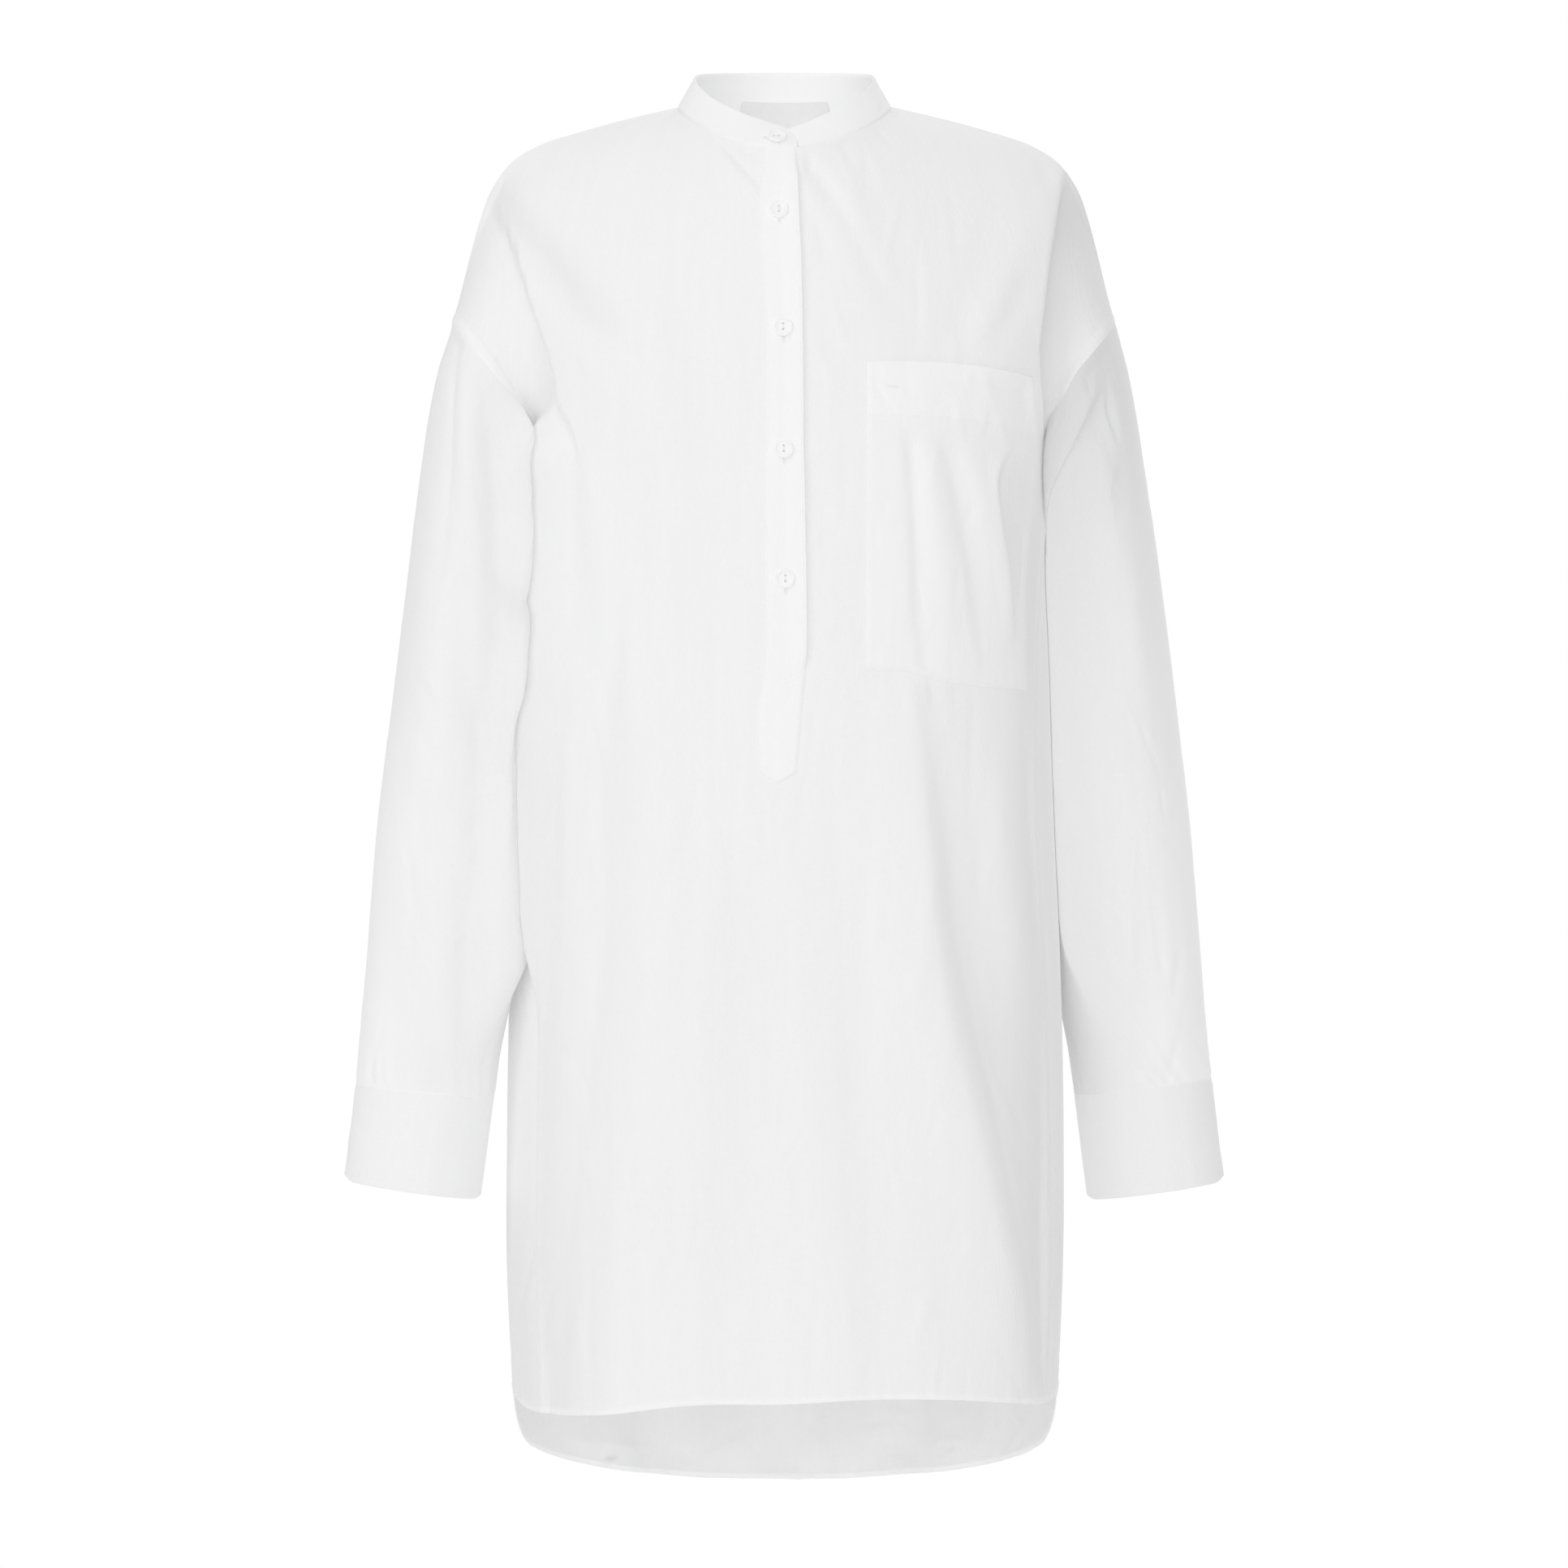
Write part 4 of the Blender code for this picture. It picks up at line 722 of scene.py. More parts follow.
SLEEVE_FOLDS = {-1: in_mm([
    # down the outer front
    ("crease", 1, 7, 9, [(585, 290, 0), (580, 350, -1), (566, 402, -1.8), (557, 487, -2.2),
        (553, 581, -2), (546, 675, -1), (540, 740, 0)]),
    ("soft", 1, 9, 9, [(566, 420, 0), (572, 487, 1.2), (580, 594, 1.6), (588, 715, 1.2),
        (590, 820, 0)]),
    ("soft", 1, 10, 10, [(592, 440, 0), (600, 520, -1.4), (604, 620, -1.6), (606, 700, -1.2),
        (604, 760, 0)]),
    # laps by the elbow
    ("lapped", -1, 20, 9, [(628, 620, 0), (634, 650, 1.8), (641, 690, 2.8), (647, 731, 2.2),
        (650, 760, 0)]),
    ("lapped", -1, 24, 10, [(606, 700, 0), (614, 735, 1.8), (631, 800, 3.4), (637, 850, 3),
        (640, 885, 0)]),
    # slack below the elbow
    ("soft", 1, 10, 12, [(560, 760, 0), (575, 850, -1.4), (600, 930, -1.8), (625, 990, -0.6)]),
    ("soft", 1, 12, 12, [(500, 900, 0), (530, 970, 1), (570, 1040, 1.2), (610, 1090, 0)]),
    ("soft", 1, 12, 10, [(636, 930, 0), (633, 1010, 1), (631, 1080, -1.6), (628, 1150, -2.2),
        (625, 1215, -1)]),
    ("soft", 1, 14, 14, [(500, 620, 0), (494, 740, -0.9), (488, 860, -1), (482, 980, 0)]),
    # to the cuff
    ("soft", 1, 12, 14, [(560, 1080, 0), (580, 1160, -1.2), (592, 1240, -1.4), (596, 1310, -0.6)]),
    ("soft", 1, 12, 14, [(520, 1020, 0), (530, 1130, 0.8), (545, 1240, 1.2), (552, 1330, 0.5)]),
    ("soft", 1, 12, 14, [(480, 1040, 0), (484, 1150, -0.8), (492, 1260, -1), (500, 1330, -0.4)]),
    ("crease", 1, 4, 4, [(612, 1225, 0), (604, 1270, -0.9), (596, 1320, -0.6), (594, 1344, 0)]),
]), 1: in_mm([
    # down the outer front
    ("soft", 1, 8, 9, [(1352, 395, 0), (1362, 450, -1.2), (1372, 540, -1.6), (1384, 640, -1.2),
        (1392, 720, 0)]),
    ("soft", 1, 10, 10, [(1382, 560, 0), (1392, 680, 1.4), (1400, 790, 1.5), (1406, 880, 0)]),
    ("soft", 1, 9, 11, [(1330, 470, 0), (1332, 560, -1.4), (1334, 660, -1.6), (1340, 760, -0.8),
        (1346, 820, 0)]),
    ("soft", 1, 10, 10, [(1300, 540, 0), (1306, 620, 1), (1310, 720, 1), (1312, 800, 0)]),
    # laps by the elbow
    ("lapped", 1, 10, 24, [(1296, 820, 0), (1302, 870, 1.8), (1316, 930, 2.6), (1338, 975, 1.4),
        (1350, 990, 0)]),
    ("soft", 1, 12, 12, [(1440, 640, 0), (1446, 760, -0.9), (1452, 880, -1), (1458, 1000, 0)]),
    # slack below the elbow
    ("soft", 1, 12, 12, [(1330, 1000, 0), (1345, 1080, -1.2), (1370, 1150, -1.4), (1400, 1200, 0)]),
    # to the cuff
    ("soft", 1, 12, 14, [(1372, 1100, 0), (1366, 1190, 1), (1356, 1280, 1.2), (1352, 1340, 0.4)]),
    ("soft", 1, 12, 14, [(1416, 1080, 0), (1414, 1180, -0.7), (1404, 1280, -0.8), (1398, 1340, -0.3)]),
    ("soft", 1, 12, 14, [(1460, 1060, 0), (1458, 1160, 0.4), (1450, 1270, 0.4), (1446, 1330, 0.1)]),
    ("crease", 1, 4, 4, [(1316, 1230, 0), (1322, 1280, -0.8), (1330, 1330, -0.5), (1332, 1352, 0)]),
])}

POCKET_FOLDS = in_mm([
    ("soft", 1, 5, 7, [(1116, 526, 0), (1121, 546, -1.8), (1126, 610, -2.3), (1129, 680, -2.1),
        (1133, 760, -1.8), (1138, 826, -0.8)]),
    ("soft", 1, 8, 9, [(1128, 528, 0), (1141, 580, 1.1), (1154, 650, 1.2), (1166, 730, 1),
        (1176, 810, 0.3)]),
    ("soft", 1, 6, 9, [(1158, 528, 0), (1170, 570, -1.6), (1184, 640, -2.1), (1197, 710, -1.9),
        (1208, 780, -1.2), (1213, 826, -0.5)]),
    ("soft", 1, 6, 6, [(1184, 532, 0), (1202, 590, 0.9), (1215, 650, 1.1), (1228, 710, 0.8),
        (1238, 760, 0)]),
    ("lapped", -1, 7, 22, [(1247, 545, 0), (1228, 590, 2), (1232, 640, 2.2), (1241, 700, 2),
        (1247, 760, 1), (1246, 800, 0)]),
])

# Painted shade: where and how strongly the cloth's colour is darkened for shade.
PAINTED_SHADES = in_mm([
    ("shade", 1, 4, 4, [(602, 690, 0), (615, 745, 1.5), (627, 800, 3.6), (633, 845, 4.6), (637, 880, 3),
        (638, 935, 0)]),
    ("shade", 1, 5, 9, [(634, 1060, 0), (629, 1110, 2.2), (625, 1170, 2.4), (620, 1230, 2),
        (612, 1320, 1.4), (610, 1345, 0.6)]),
    ("shade", 1, 8, 16, [(655, 860, 0), (658, 960, 0.7), (658, 1080, 1.1), (655, 1200, 1.2),
        (652, 1330, 1.1), (650, 1480, 0.9), (652, 1650, 0.5)]),
    ("shade", 1, 10, 60, [(1186, 1000, 0), (1200, 1162, 0.6), (1224, 1280, 1), (1246, 1370, 1.2),
        (1270, 1480, 1.2), (1286, 1590, 1), (1290, 1700, 0.6)]),
    ("shade", 1, 1.4, 100, [(1315, 200, 1.8), (1310, 229, 2.6), (1290, 330, 2.3), (1282, 400, 2.3),
        (1281, 460, 2.3), (1284, 515, 2)]),
    ("shade", 1, 1.4, 15, [(1310, 215, 0), (1306, 245, 1), (1292, 330, 1), (1283, 400, 1),
        (1281, 460, 1), (1284, 515, 0.6)]),
    ("shade", 1, 10, 10, [(600, 234, 1.2), (640, 283, 1.2), (680, 330, 1.2), (712, 375, 1),
        (760, 424, 0)]),
    ("shade", 1, 9, 10, [(658, 390, 0), (665, 440, 1.2), (673, 500, 1.8), (682, 555, 1.8),
        (690, 610, 1), (694, 670, 0)]),
    ("shade", 1, 12, 15, [(664, 500, 0.6), (667, 560, 2), (669, 620, 3), (671, 680, 3.2),
        (668, 760, 2.8), (664, 850, 2), (660, 960, 1), (658, 1040, 0)]),
    ("shade", 1, 9, 22, [(1243, 548, 0), (1240, 590, 1.2), (1244, 650, 1.4), (1252, 720, 1.2),
        (1256, 790, 0.8), (1258, 850, 0.4)]),
])

BACK_FOLDS = [
    # laps behind the armholes
    ("lapped", 1, 20, 34, [(-178, -60, 0), (-166, -100, 3), (-152, -150, 4.4),
        (-142, -200, 3.6), (-136, -250, 0)]),
    ("lapped", -1, 34, 20, [(182, -70, 0), (168, -112, 3.4), (156, -160, 4.2),
        (148, -206, 3), (142, -246, 0)]),
    # long hollows from the shoulder blades to the hem, and the ridges between
    ("soft", 1, 16, 26, [(-120, -190, 0), (-112, -330, -3.0), (-114, -520, -3.4),
        (-120, -700, -4.4), (-122, -900, -4.8)]),
    ("soft", 1, 26, 18, [(124, -180, 0), (108, -320, -2.4), (104, -500, -3.2),
        (110, -690, -4.2), (118, -900, -4.6)]),
    ("soft", 1, 22, 18, [(-34, -290, 0), (-38, -450, -2.2), (-36, -640, -2.8),
        (-42, -900, -3.6)]),
    ("soft", 1, 18, 22, [(46, -350, 0), (42, -520, -2.0), (40, -700, -2.8),
        (35, -900, -3.4)]),
    ("soft", 1, 16, 16, [(-78, -380, 0), (-80, -560, 2.0), (-84, -760, 2.8), (-86, -910, 3.0)]),
    ("soft", 1, 16, 16, [(76, -360, 0), (74, -540, 2.2), (76, -740, 2.6), (80, -910, 2.8)]),
    ("soft", 1, 14, 14, [(2, -420, 0), (0, -600, 1.6), (-4, -780, 2.2), (-6, -920, 2.4)]),
    # pulls under the collar
    ("crease", 1, 5, 7, [(-44, -16, 0), (-56, -34, -1.0), (-72, -56, 0)]),
    ("crease", 1, 7, 5, [(40, -14, 0), (50, -36, -1.1), (68, -64, 0)]),
    ("soft", 1, 8, 8, [(-14, -18, 0), (-18, -50, -0.9), (-26, -96, 0)]),
    ("soft", 1, 8, 8, [(18, -18, 0), (20, -56, 0.9), (28, -110, 0)]),
    # slack beside the side seams
    ("soft", 1, 8, 10, [(-156, -300, 0), (-150, -380, -1.8), (-154, -480, -1.2), (-150, -560, 0)]),
    ("soft", 1, 10, 8, [(158, -280, 0), (152, -370, -1.6), (156, -470, -1.4), (150, -570, 0)]),
]

SLEEVE_BACK_FOLDS = {
    # as seen from the front through the sleeve
    -1: [
        ("soft", 1, 10, 12, [(-222, -180, 0), (-220, -260, -1.6), (-226, -350, -1.2),
            (-230, -420, 0)]),
        ("lapped", 1, 10, 22, [(-206, -330, 0), (-214, -370, 1.2), (-228, -405, 1.3),
            (-242, -425, 0)]),
        ("lapped", 1, 10, 24, [(-204, -390, 0), (-216, -428, 1.5), (-232, -452, 1.2),
            (-248, -462, 0)]),
        ("soft", 1, 12, 14, [(-260, -440, 0), (-258, -540, -1.4), (-256, -640, -0.8)]),
        ("soft", 1, 12, 12, [(-226, -500, 0), (-230, -580, 1.6), (-236, -650, 0.8)]),
        ("crease", 1, 4, 5, [(-248, -600, 0), (-246, -640, -1.4), (-245, -662, -0.8)]),
    ],
    1: [
        ("soft", 1, 10, 12, [(218, -170, 0), (222, -260, -1.4), (230, -340, -1.4),
            (236, -430, 0)]),
        ("lapped", -1, 22, 10, [(208, -320, 0), (216, -362, 1.4), (230, -398, 1.5),
            (246, -416, 0)]),
        ("lapped", -1, 24, 10, [(208, -400, 0), (222, -436, 1.8), (238, -458, 1.4),
            (254, -468, 0)]),
        ("soft", 1, 12, 14, [(262, -450, 0), (264, -550, -1.4), (262, -640, -0.8)]),
        ("soft", 1, 12, 12, [(232, -510, 0), (236, -590, 1.4), (242, -650, 0.8)]),
        ("crease", 1, 4, 5, [(252, -596, 0), (252, -636, -1.4), (252, -662, -0.8)]),
    ],
}
print("folds:", len(FRONT_FOLDS), "front,", len(BACK_FOLDS), "back,",
      sum(map(len, SLEEVE_FOLDS.values())), "sleeves,", len(POCKET_FOLDS), "pocket")

# %% Reading the folds
LAP_EDGE = 2.3              # mm over which a lapped fold steps down
CREASE_ROUND = 1.2          # mm, how round a crease's bottom is
DINT_DEPTH = 1.35


def seen_from_front(points):
    """Places as the camera sees them, in mm, scaled back to the plane Y = 0."""
    nearer = CAMERA_BACK / (CAMERA_BACK + points[..., 1])
    x = points[..., 0] * nearer
    z = CAMERA_LEVEL + (points[..., 2] - CAMERA_LEVEL) * nearer
    return np.stack([x, z], -1) * 1000


def beside_line(places, line):
    """Distance of places from a line, + toward +X, and the line's height beside them."""
    best = np.full(len(places), 1e9)
    signed, height = np.zeros(len(places)), np.zeros(len(places))
    for (x0, z0, h0), (x1, z1, h1) in zip(line[:-1], line[1:]):
        dx, dz = x1 - x0, z1 - z0
        ox, oz = places[:, 0] - x0, places[:, 1] - z0
        t = np.clip((ox * dx + oz * dz) / (dx * dx + dz * dz), 0, 1)
        away = np.hypot(ox - t * dx, oz - t * dz)
        nearer = away < best
        best = np.where(nearer, away, best)
        signed = np.where(nearer, np.where(dx * oz - dz * ox < 0, -away, away), signed)
        height = np.where(nearer, h0 + (h1 - h0) * t, height)
    return signed, height


def fold_depth(kind, breadth):
    """Broad folds hang deeper than the tables' first guess, narrow ones hardly."""
    return {"soft": 1.1 + 2.1 * ramp(breadth, 8, 22), "crease": 1.4, "lapped": 1.35,
            "shade": 1.0}[kind]


def fold_heights(places, folds):
    """Height in mm that a table of folds gives at places seen from the front."""
    flat = places.reshape(-1, 2)
    total = np.zeros(len(flat))
    for kind, side, toward_right, toward_left, nodes in folds:
        nodes = np.array(nodes, float)
        line = along(nodes, np.linspace(0, 1, 6 * len(nodes)))
        reach = 2.6 * max(toward_right, toward_left)
        low, high = line[:, :2].min(0) - reach, line[:, :2].max(0) + reach
        near = np.flatnonzero(np.all((flat > low) & (flat < high), axis=1))
        if not len(near):
            continue
        signed, height = beside_line(flat[near], line)
        height = height * fold_depth(kind, (toward_right + toward_left) / 2)
        width = np.where(signed < 0, toward_right, toward_left)
        if kind == "crease":
            round_away = np.sqrt(signed ** 2 + CREASE_ROUND ** 2) - CREASE_ROUND
            shape = np.exp(-1.6 * round_away / width)
        elif kind == "lapped":
            over = side * signed
            up = ramp(over, -LAP_EDGE, LAP_EDGE)
            bell = np.exp(-(over / width) ** 2)
            shape = up * bell - 0.75 * (1 - up) * bell
        else:
            shape = np.exp(-(signed / width) ** 2)
        total[near] += height * shape
    return total.reshape(places.shape[:-1])


# %% [markdown]
# Between the big folds, washed poplin is never quite smooth. Sums of waves with a fixed
# seed stir every piece by one shared field, so pieces that meet still meet. Small dints
# of random size, mostly upright as the warp is, roughen each panel on top of that, and
# every line of sewing draws the cloth into tiny puckers.

# %% Small unevenness
def waves(points, seed, length, count=14):
    """Smooth uneven values near -1 to 1 at points, with hills about length apart."""
    rng = np.random.default_rng(seed)
    value = np.zeros(points.shape[:-1])
    for _ in range(count):
        way = unit(rng.normal(size=3)) * (1, 1, 0.45)
        turns = 2 * math.pi / (length * rng.uniform(0.7, 1.6))
        value += np.sin(points @ way * turns + rng.uniform(0, 2 * math.pi))
    return value / math.sqrt(count)


STIR = 0.0007


def stirred(points):
    shift = np.stack([waves(points, seed, 0.11) for seed in (11, 12, 13)], -1)
    return points + shift * STIR * (0.6, 1.0, 0.3)


def dints(places, rng, count, low, high, depth, length=(8, 34), width=(1.6, 4.5), upright=0.35):
    """Heights in mm of small dints spread over a patch seen from the front."""
    flat = places.reshape(-1, 2)
    order = np.argsort(flat[:, 1])
    level = flat[order, 1]
    total = np.zeros(len(flat))
    for _ in range(count):
        middle = rng.uniform(low, high)
        turn = rng.normal(0, upright)
        long, wide = rng.uniform(*length), rng.uniform(*width)
        high_here = rng.normal(0, depth) * DINT_DEPTH
        first, last = np.searchsorted(level, (middle[1] - 2.2 * long, middle[1] + 2.2 * long))
        mine = order[first:last]
        off = flat[mine] - middle
        near = np.abs(off[:, 0]) < 2.2 * long
        mine, off = mine[near], off[near]
        s, c = math.sin(turn), math.cos(turn)
        down, across = off[:, 1] * c + off[:, 0] * s, off[:, 0] * c - off[:, 1] * s
        total[mine] += high_here * np.exp(-(down / long) ** 2 - (across / wide) ** 2)
    return total.reshape(places.shape[:-1])


def puckers(run, away, height, seed, every=0.0075, reach=0.010):
    """Ripples across a seam: run is the place along it, away the distance from it."""
    rng = np.random.default_rng(seed)
    shifts = rng.uniform(0, 2 * math.pi, 3)
    turns = 2 * math.pi / every
    ripple = (np.sin(run * turns + 2.2 * np.sin(run * turns * 0.21 + shifts[0]) + shifts[1])
              + 0.6 * np.sin(run * turns * 0.53 + shifts[2])) / 1.4
    return height * ripple * np.exp(-away / reach)


print("stir at the neck, mm:", np.round((stirred(np.zeros((1, 3))) * 1000)[0], 2))

# %% [markdown]
# ## Poplin
# Poplin is a close plain weave of fine cotton. Close up it has a grid of threads; a step
# away one sees the thicker threads as faint upright streaks (slubs), and soft crumples
# that washing leaves. Each is a node group with its sizes as inputs, so that the panels,
# the doubled pieces and the tape use the same three effects with their own values. They
# are drawn in the cloth's own plane, by a map whose unit is the metre, so the grain
# follows each piece as it hangs. One layer of thin white cotton lets a little of the dark
# inside through, so two layers look paler. A mark on each point sets the tone: 1 for a
# second layer, as in hems and seam allowances, and 0 for one layer over the hollow. Less
# than its layers give is painted shade, in deep folds, between arm and body, on the cuffs
# and on the side away from the lamps; more, on the sleeves' outer sides, is painted light.

# %% Shader groups
def new_group(name, numbers, outputs):
    """A node group that paints by the place in the cloth and by some numbers."""
    tree = bpy.data.node_groups.new(name, "ShaderNodeTree")
    tree.interface.new_socket("Cloth", in_out="INPUT", socket_type="NodeSocketVector")
    for label, default in numbers.items():
        made = tree.interface.new_socket(label, in_out="INPUT", socket_type="NodeSocketFloat")
        made.default_value = default
    for label in outputs:
        tree.interface.new_socket(label, in_out="OUTPUT", socket_type="NodeSocketFloat")
    given = tree.nodes.new("NodeGroupInput").outputs
    signals = [Signal(given[label]) for label in ("Cloth", *numbers)]
    return tree, signals, tree.nodes.new("NodeGroupOutput").inputs


def weave_group():
    """A plain weave: warp and weft pass over each other by turns."""
    tree, (cloth, threads), out = new_group(
        "plain weave", {"Threads per metre": 3400.0}, ["Height"])
    turns = threads * math.pi
    across, down = ((part * turns).maths("SINE") for part in parts_of(cloth))
    wire(across * down * 0.5 + (abs(across) + abs(down)) * 0.3, out["Height"])
    return tree


def slub_group():
    """Thick and thin threads as streaks: many upright, some level."""
    tree, (cloth, streaks, length), out = new_group(
        "slub", {"Streaks per metre": 900.0, "Length": 14.0}, ["Height", "Tone"])
    along_thread = streaks / length
    warp = noise(stretched(cloth, streaks, along_thread), 1.0, detail=3.0, rough=0.6)
    weft = noise(stretched(cloth, along_thread, streaks), 1.0)
    wire(warp * 0.7 + weft * 0.3, out["Height"])
    wire(warp, out["Tone"])
    return tree


def crumple_group():
    """Soft crumples left by washing, with finer ones inside them."""
    tree, (cloth, crumples), out = new_group(
        "washed crumple", {"Crumples per metre": 60.0}, ["Height"])
    tall = stretched(cloth, crumples, crumples * 0.45)
    ridge = abs(noise(tall, 1.0, detail=3.0, rough=0.55, distortion=0.8) - 0.5)
    fine_ridge = abs(noise(tall, 4.2, distortion=1.2) - 0.5)
    where = noise(cloth, 11.0, detail=1.0) * 3.2 - 1.1
    mask = where.maths("MAXIMUM", 0.0).maths("SMOOTH_MIN", 1.0, 0.2)
    wire((ridge + fine_ridge * 0.28) * mask, out["Height"])
    return tree


weave, slub, crumple = weave_group(), slub_group(), crumple_group()
print("shader groups:", [group.name for group in (weave, slub, crumple)])

# %% Cloth materials
STREAK_TONE = 0.024             # how much the streaks change the tone
SLUB_RISE = 5                   # how many times a thick thread is higher than the weave


def cloth_material(name, single, doubled, weave_depth, crumple_depth, threads=3400.0):
    """Woven cotton. single and doubled are its tones where it has one and two layers; the mark between
    them also carries painted shade and painted light.
    """
    material, tree = new_material(name)
    cloth = node(tree, "UVMap", uv_map="cloth")
    woven = node(tree, "Group", {"Cloth": cloth, "Threads per metre": threads}, node_tree=weave)
    slubs = node(tree, "Group", {"Cloth": cloth}, node_tree=slub)
    streaks = Signal(slubs.socket.node.outputs["Tone"])
    washed = node(tree, "Group", {"Cloth": cloth}, node_tree=crumple)
    # Painted shade and painted light: the mark of layers and shade moves the tone below and above the
    # layer tones.
    layers = node(tree, "Attribute", out="Fac", attribute_name="backing")
    mottle = noise(cloth, 430.0, detail=3.0, rough=0.6)
    bands = noise(stretched(cloth, 95.0, 7.0), 1.0, detail=3.0, rough=0.6)
    value = streaks * (STREAK_TONE * 2) + mottle * (STREAK_TONE * 2)
    value = value + bands * (STREAK_TONE * 1.6) + (1 - 2.8 * STREAK_TONE)
    height = woven * weave_depth + slubs * (weave_depth * SLUB_RISE) + washed * crumple_depth
    return shade(material, {
        "Base Color": node(tree, "HueSaturation",
                           {"Color": mixed(layers, single, doubled), "Value": value}),
        "Normal": node(tree, "Bump", {"Height": height, "Strength": 1.0, "Distance": 1.0}),
        "Roughness": streaks * 0.10 + 0.80,
        "Specular IOR Level": 0.25, "Sheen Weight": 0.12, "Sheen Roughness": 0.5,
        # Painted light: the cloth glows faintly white, which lifts its shaded parts.
        "Emission Color": WHITE, "Emission Strength": 0.10})


POPLIN_TONES = (0.890, 0.890, 0.893), (0.925, 0.925, 0.928)
poplin = cloth_material("washed poplin", *POPLIN_TONES, 0.000014, 0.00085)
poplin_doubled = cloth_material("poplin, two layers", *POPLIN_TONES, 0.000014, 0.00060)
label_tape = cloth_material("woven label tape", (0.79, 0.79, 0.79), (0.81, 0.81, 0.81),
                            0.000016, 0.00005, threads=2400.0)
print("cloth materials:", poplin.name, "/", poplin_doubled.name, "/", label_tape.name)

# %% [markdown]
# Sewing thread is glossier than the cloth, twisted, and just visible by the shade beside
# each stitch. The buttons are white polyester with a faint swirl, polished on top.

# %% Thread and button materials
def thread_material():
    material, tree = new_material("sewing thread")
    twist = noise(node(tree, "TexCoord", out="Object"), 2600.0, detail=1.0)
    return shade(material, {
        "Base Color": mixed(twist, (0.88, 0.88, 0.88), (0.94, 0.94, 0.94)),
        "Normal": node(tree, "Bump", {"Height": twist, "Distance": 0.00005}),
        # Painted light: the thread glows faintly white.
        "Roughness": 0.55, "Emission Color": WHITE, "Emission Strength": 0.08})


def button_material():
    material, tree = new_material("white button resin")
    swirl = noise(node(tree, "TexCoord", out="Object"), 160.0, detail=3.0, distortion=2.5)
    return shade(material, {
        "Base Color": mixed(swirl, (0.90, 0.90, 0.895), (0.95, 0.95, 0.95)),
        "Roughness": swirl * 0.15 + 0.28, "Coat Weight": 0.15,
        # Painted light: the button glows faintly white.
        "Emission Color": WHITE, "Emission Strength": 0.10,
        "Subsurface Weight": 0.15, "Subsurface Radius": (0.001, 0.001, 0.001),
        "Subsurface Scale": 1.0})


thread, button_resin = thread_material(), button_material()
print("thread and button materials ready")

# %% [markdown]
# ## Making meshes of grids
# A grid becomes a mesh of quads with a "cloth" map in metres and a mark of layers and
# painted shade. The panels are single sheets whose free edges turn under, as real hems do.
# The collar, cuffs, pocket and strips are sewn double, so they are closed thin walls with
# rounded edges.

# %% Mesh helpers
def cloth_map(grid, tube=False):
    """Place of each point in the flat cloth, in metres."""
    across, down = lengths_along(grid, 1), lengths_along(grid, 0)
    if not tube:
        middle = grid.shape[1] // 2
        across = across - across[:, middle:middle + 1]
    return np.stack([across, -down], -1)


def add_object(name, mesh, material, solid=None):
    mesh.materials.append(material)
    obj = place_object(name, mesh)
    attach(obj, "root")
    if solid:
        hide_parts(solid)
    print(name, "faces", len(mesh.polygons))
    return obj


def build_mesh(name, points, faces, maps=None, backing=None):
    mesh = bpy.data.meshes.new(name)
    mesh.from_pydata(np.asarray(points, float).tolist(), [], [tuple(f) for f in faces])
    mesh.update()
    corner = np.zeros(len(mesh.loops), dtype=np.int32)
    mesh.loops.foreach_get("vertex_index", corner)
    if maps is not None:
        layer = mesh.uv_layers.new(name="cloth")
        layer.data.foreach_set("uv", np.asarray(maps, np.float32)[corner].ravel())
        mark = mesh.attributes.new("backing", "FLOAT", "POINT")
        mark.data.foreach_set("value", np.asarray(backing, np.float32).ravel())
    mesh.shade_smooth()
    return mesh


def ids_of(grid):
    """The number of each point of a grid."""
    rows, count = grid.shape[:2]
    return np.arange(rows * count).reshape(rows, count)


def quads(grid, tube=False, right_ids=None, slit=0):
    """Quads over a grid. From column slit on their points are those of right_ids."""
    left = ids_of(grid)
    right = left if right_ids is None else right_ids
    column = np.arange(grid.shape[1])
    near = np.where(column[:-1] >= slit, right[:, :-1], left[:, :-1])
    far = np.where(column[1:] > slit, right[:, 1:], left[:, 1:])
    faces = np.stack([near[:-1], near[1:], far[1:], far[:-1]], -1).reshape(-1, 4)
    if tube:
        faces = np.concatenate([faces, np.stack(
            [left[:-1, -1], left[1:, -1], left[1:, 0], left[:-1, 0]], -1)])
    return faces


EDGE_ROUND = 0.45               # how far a wall's free edge bulges, as a share of it


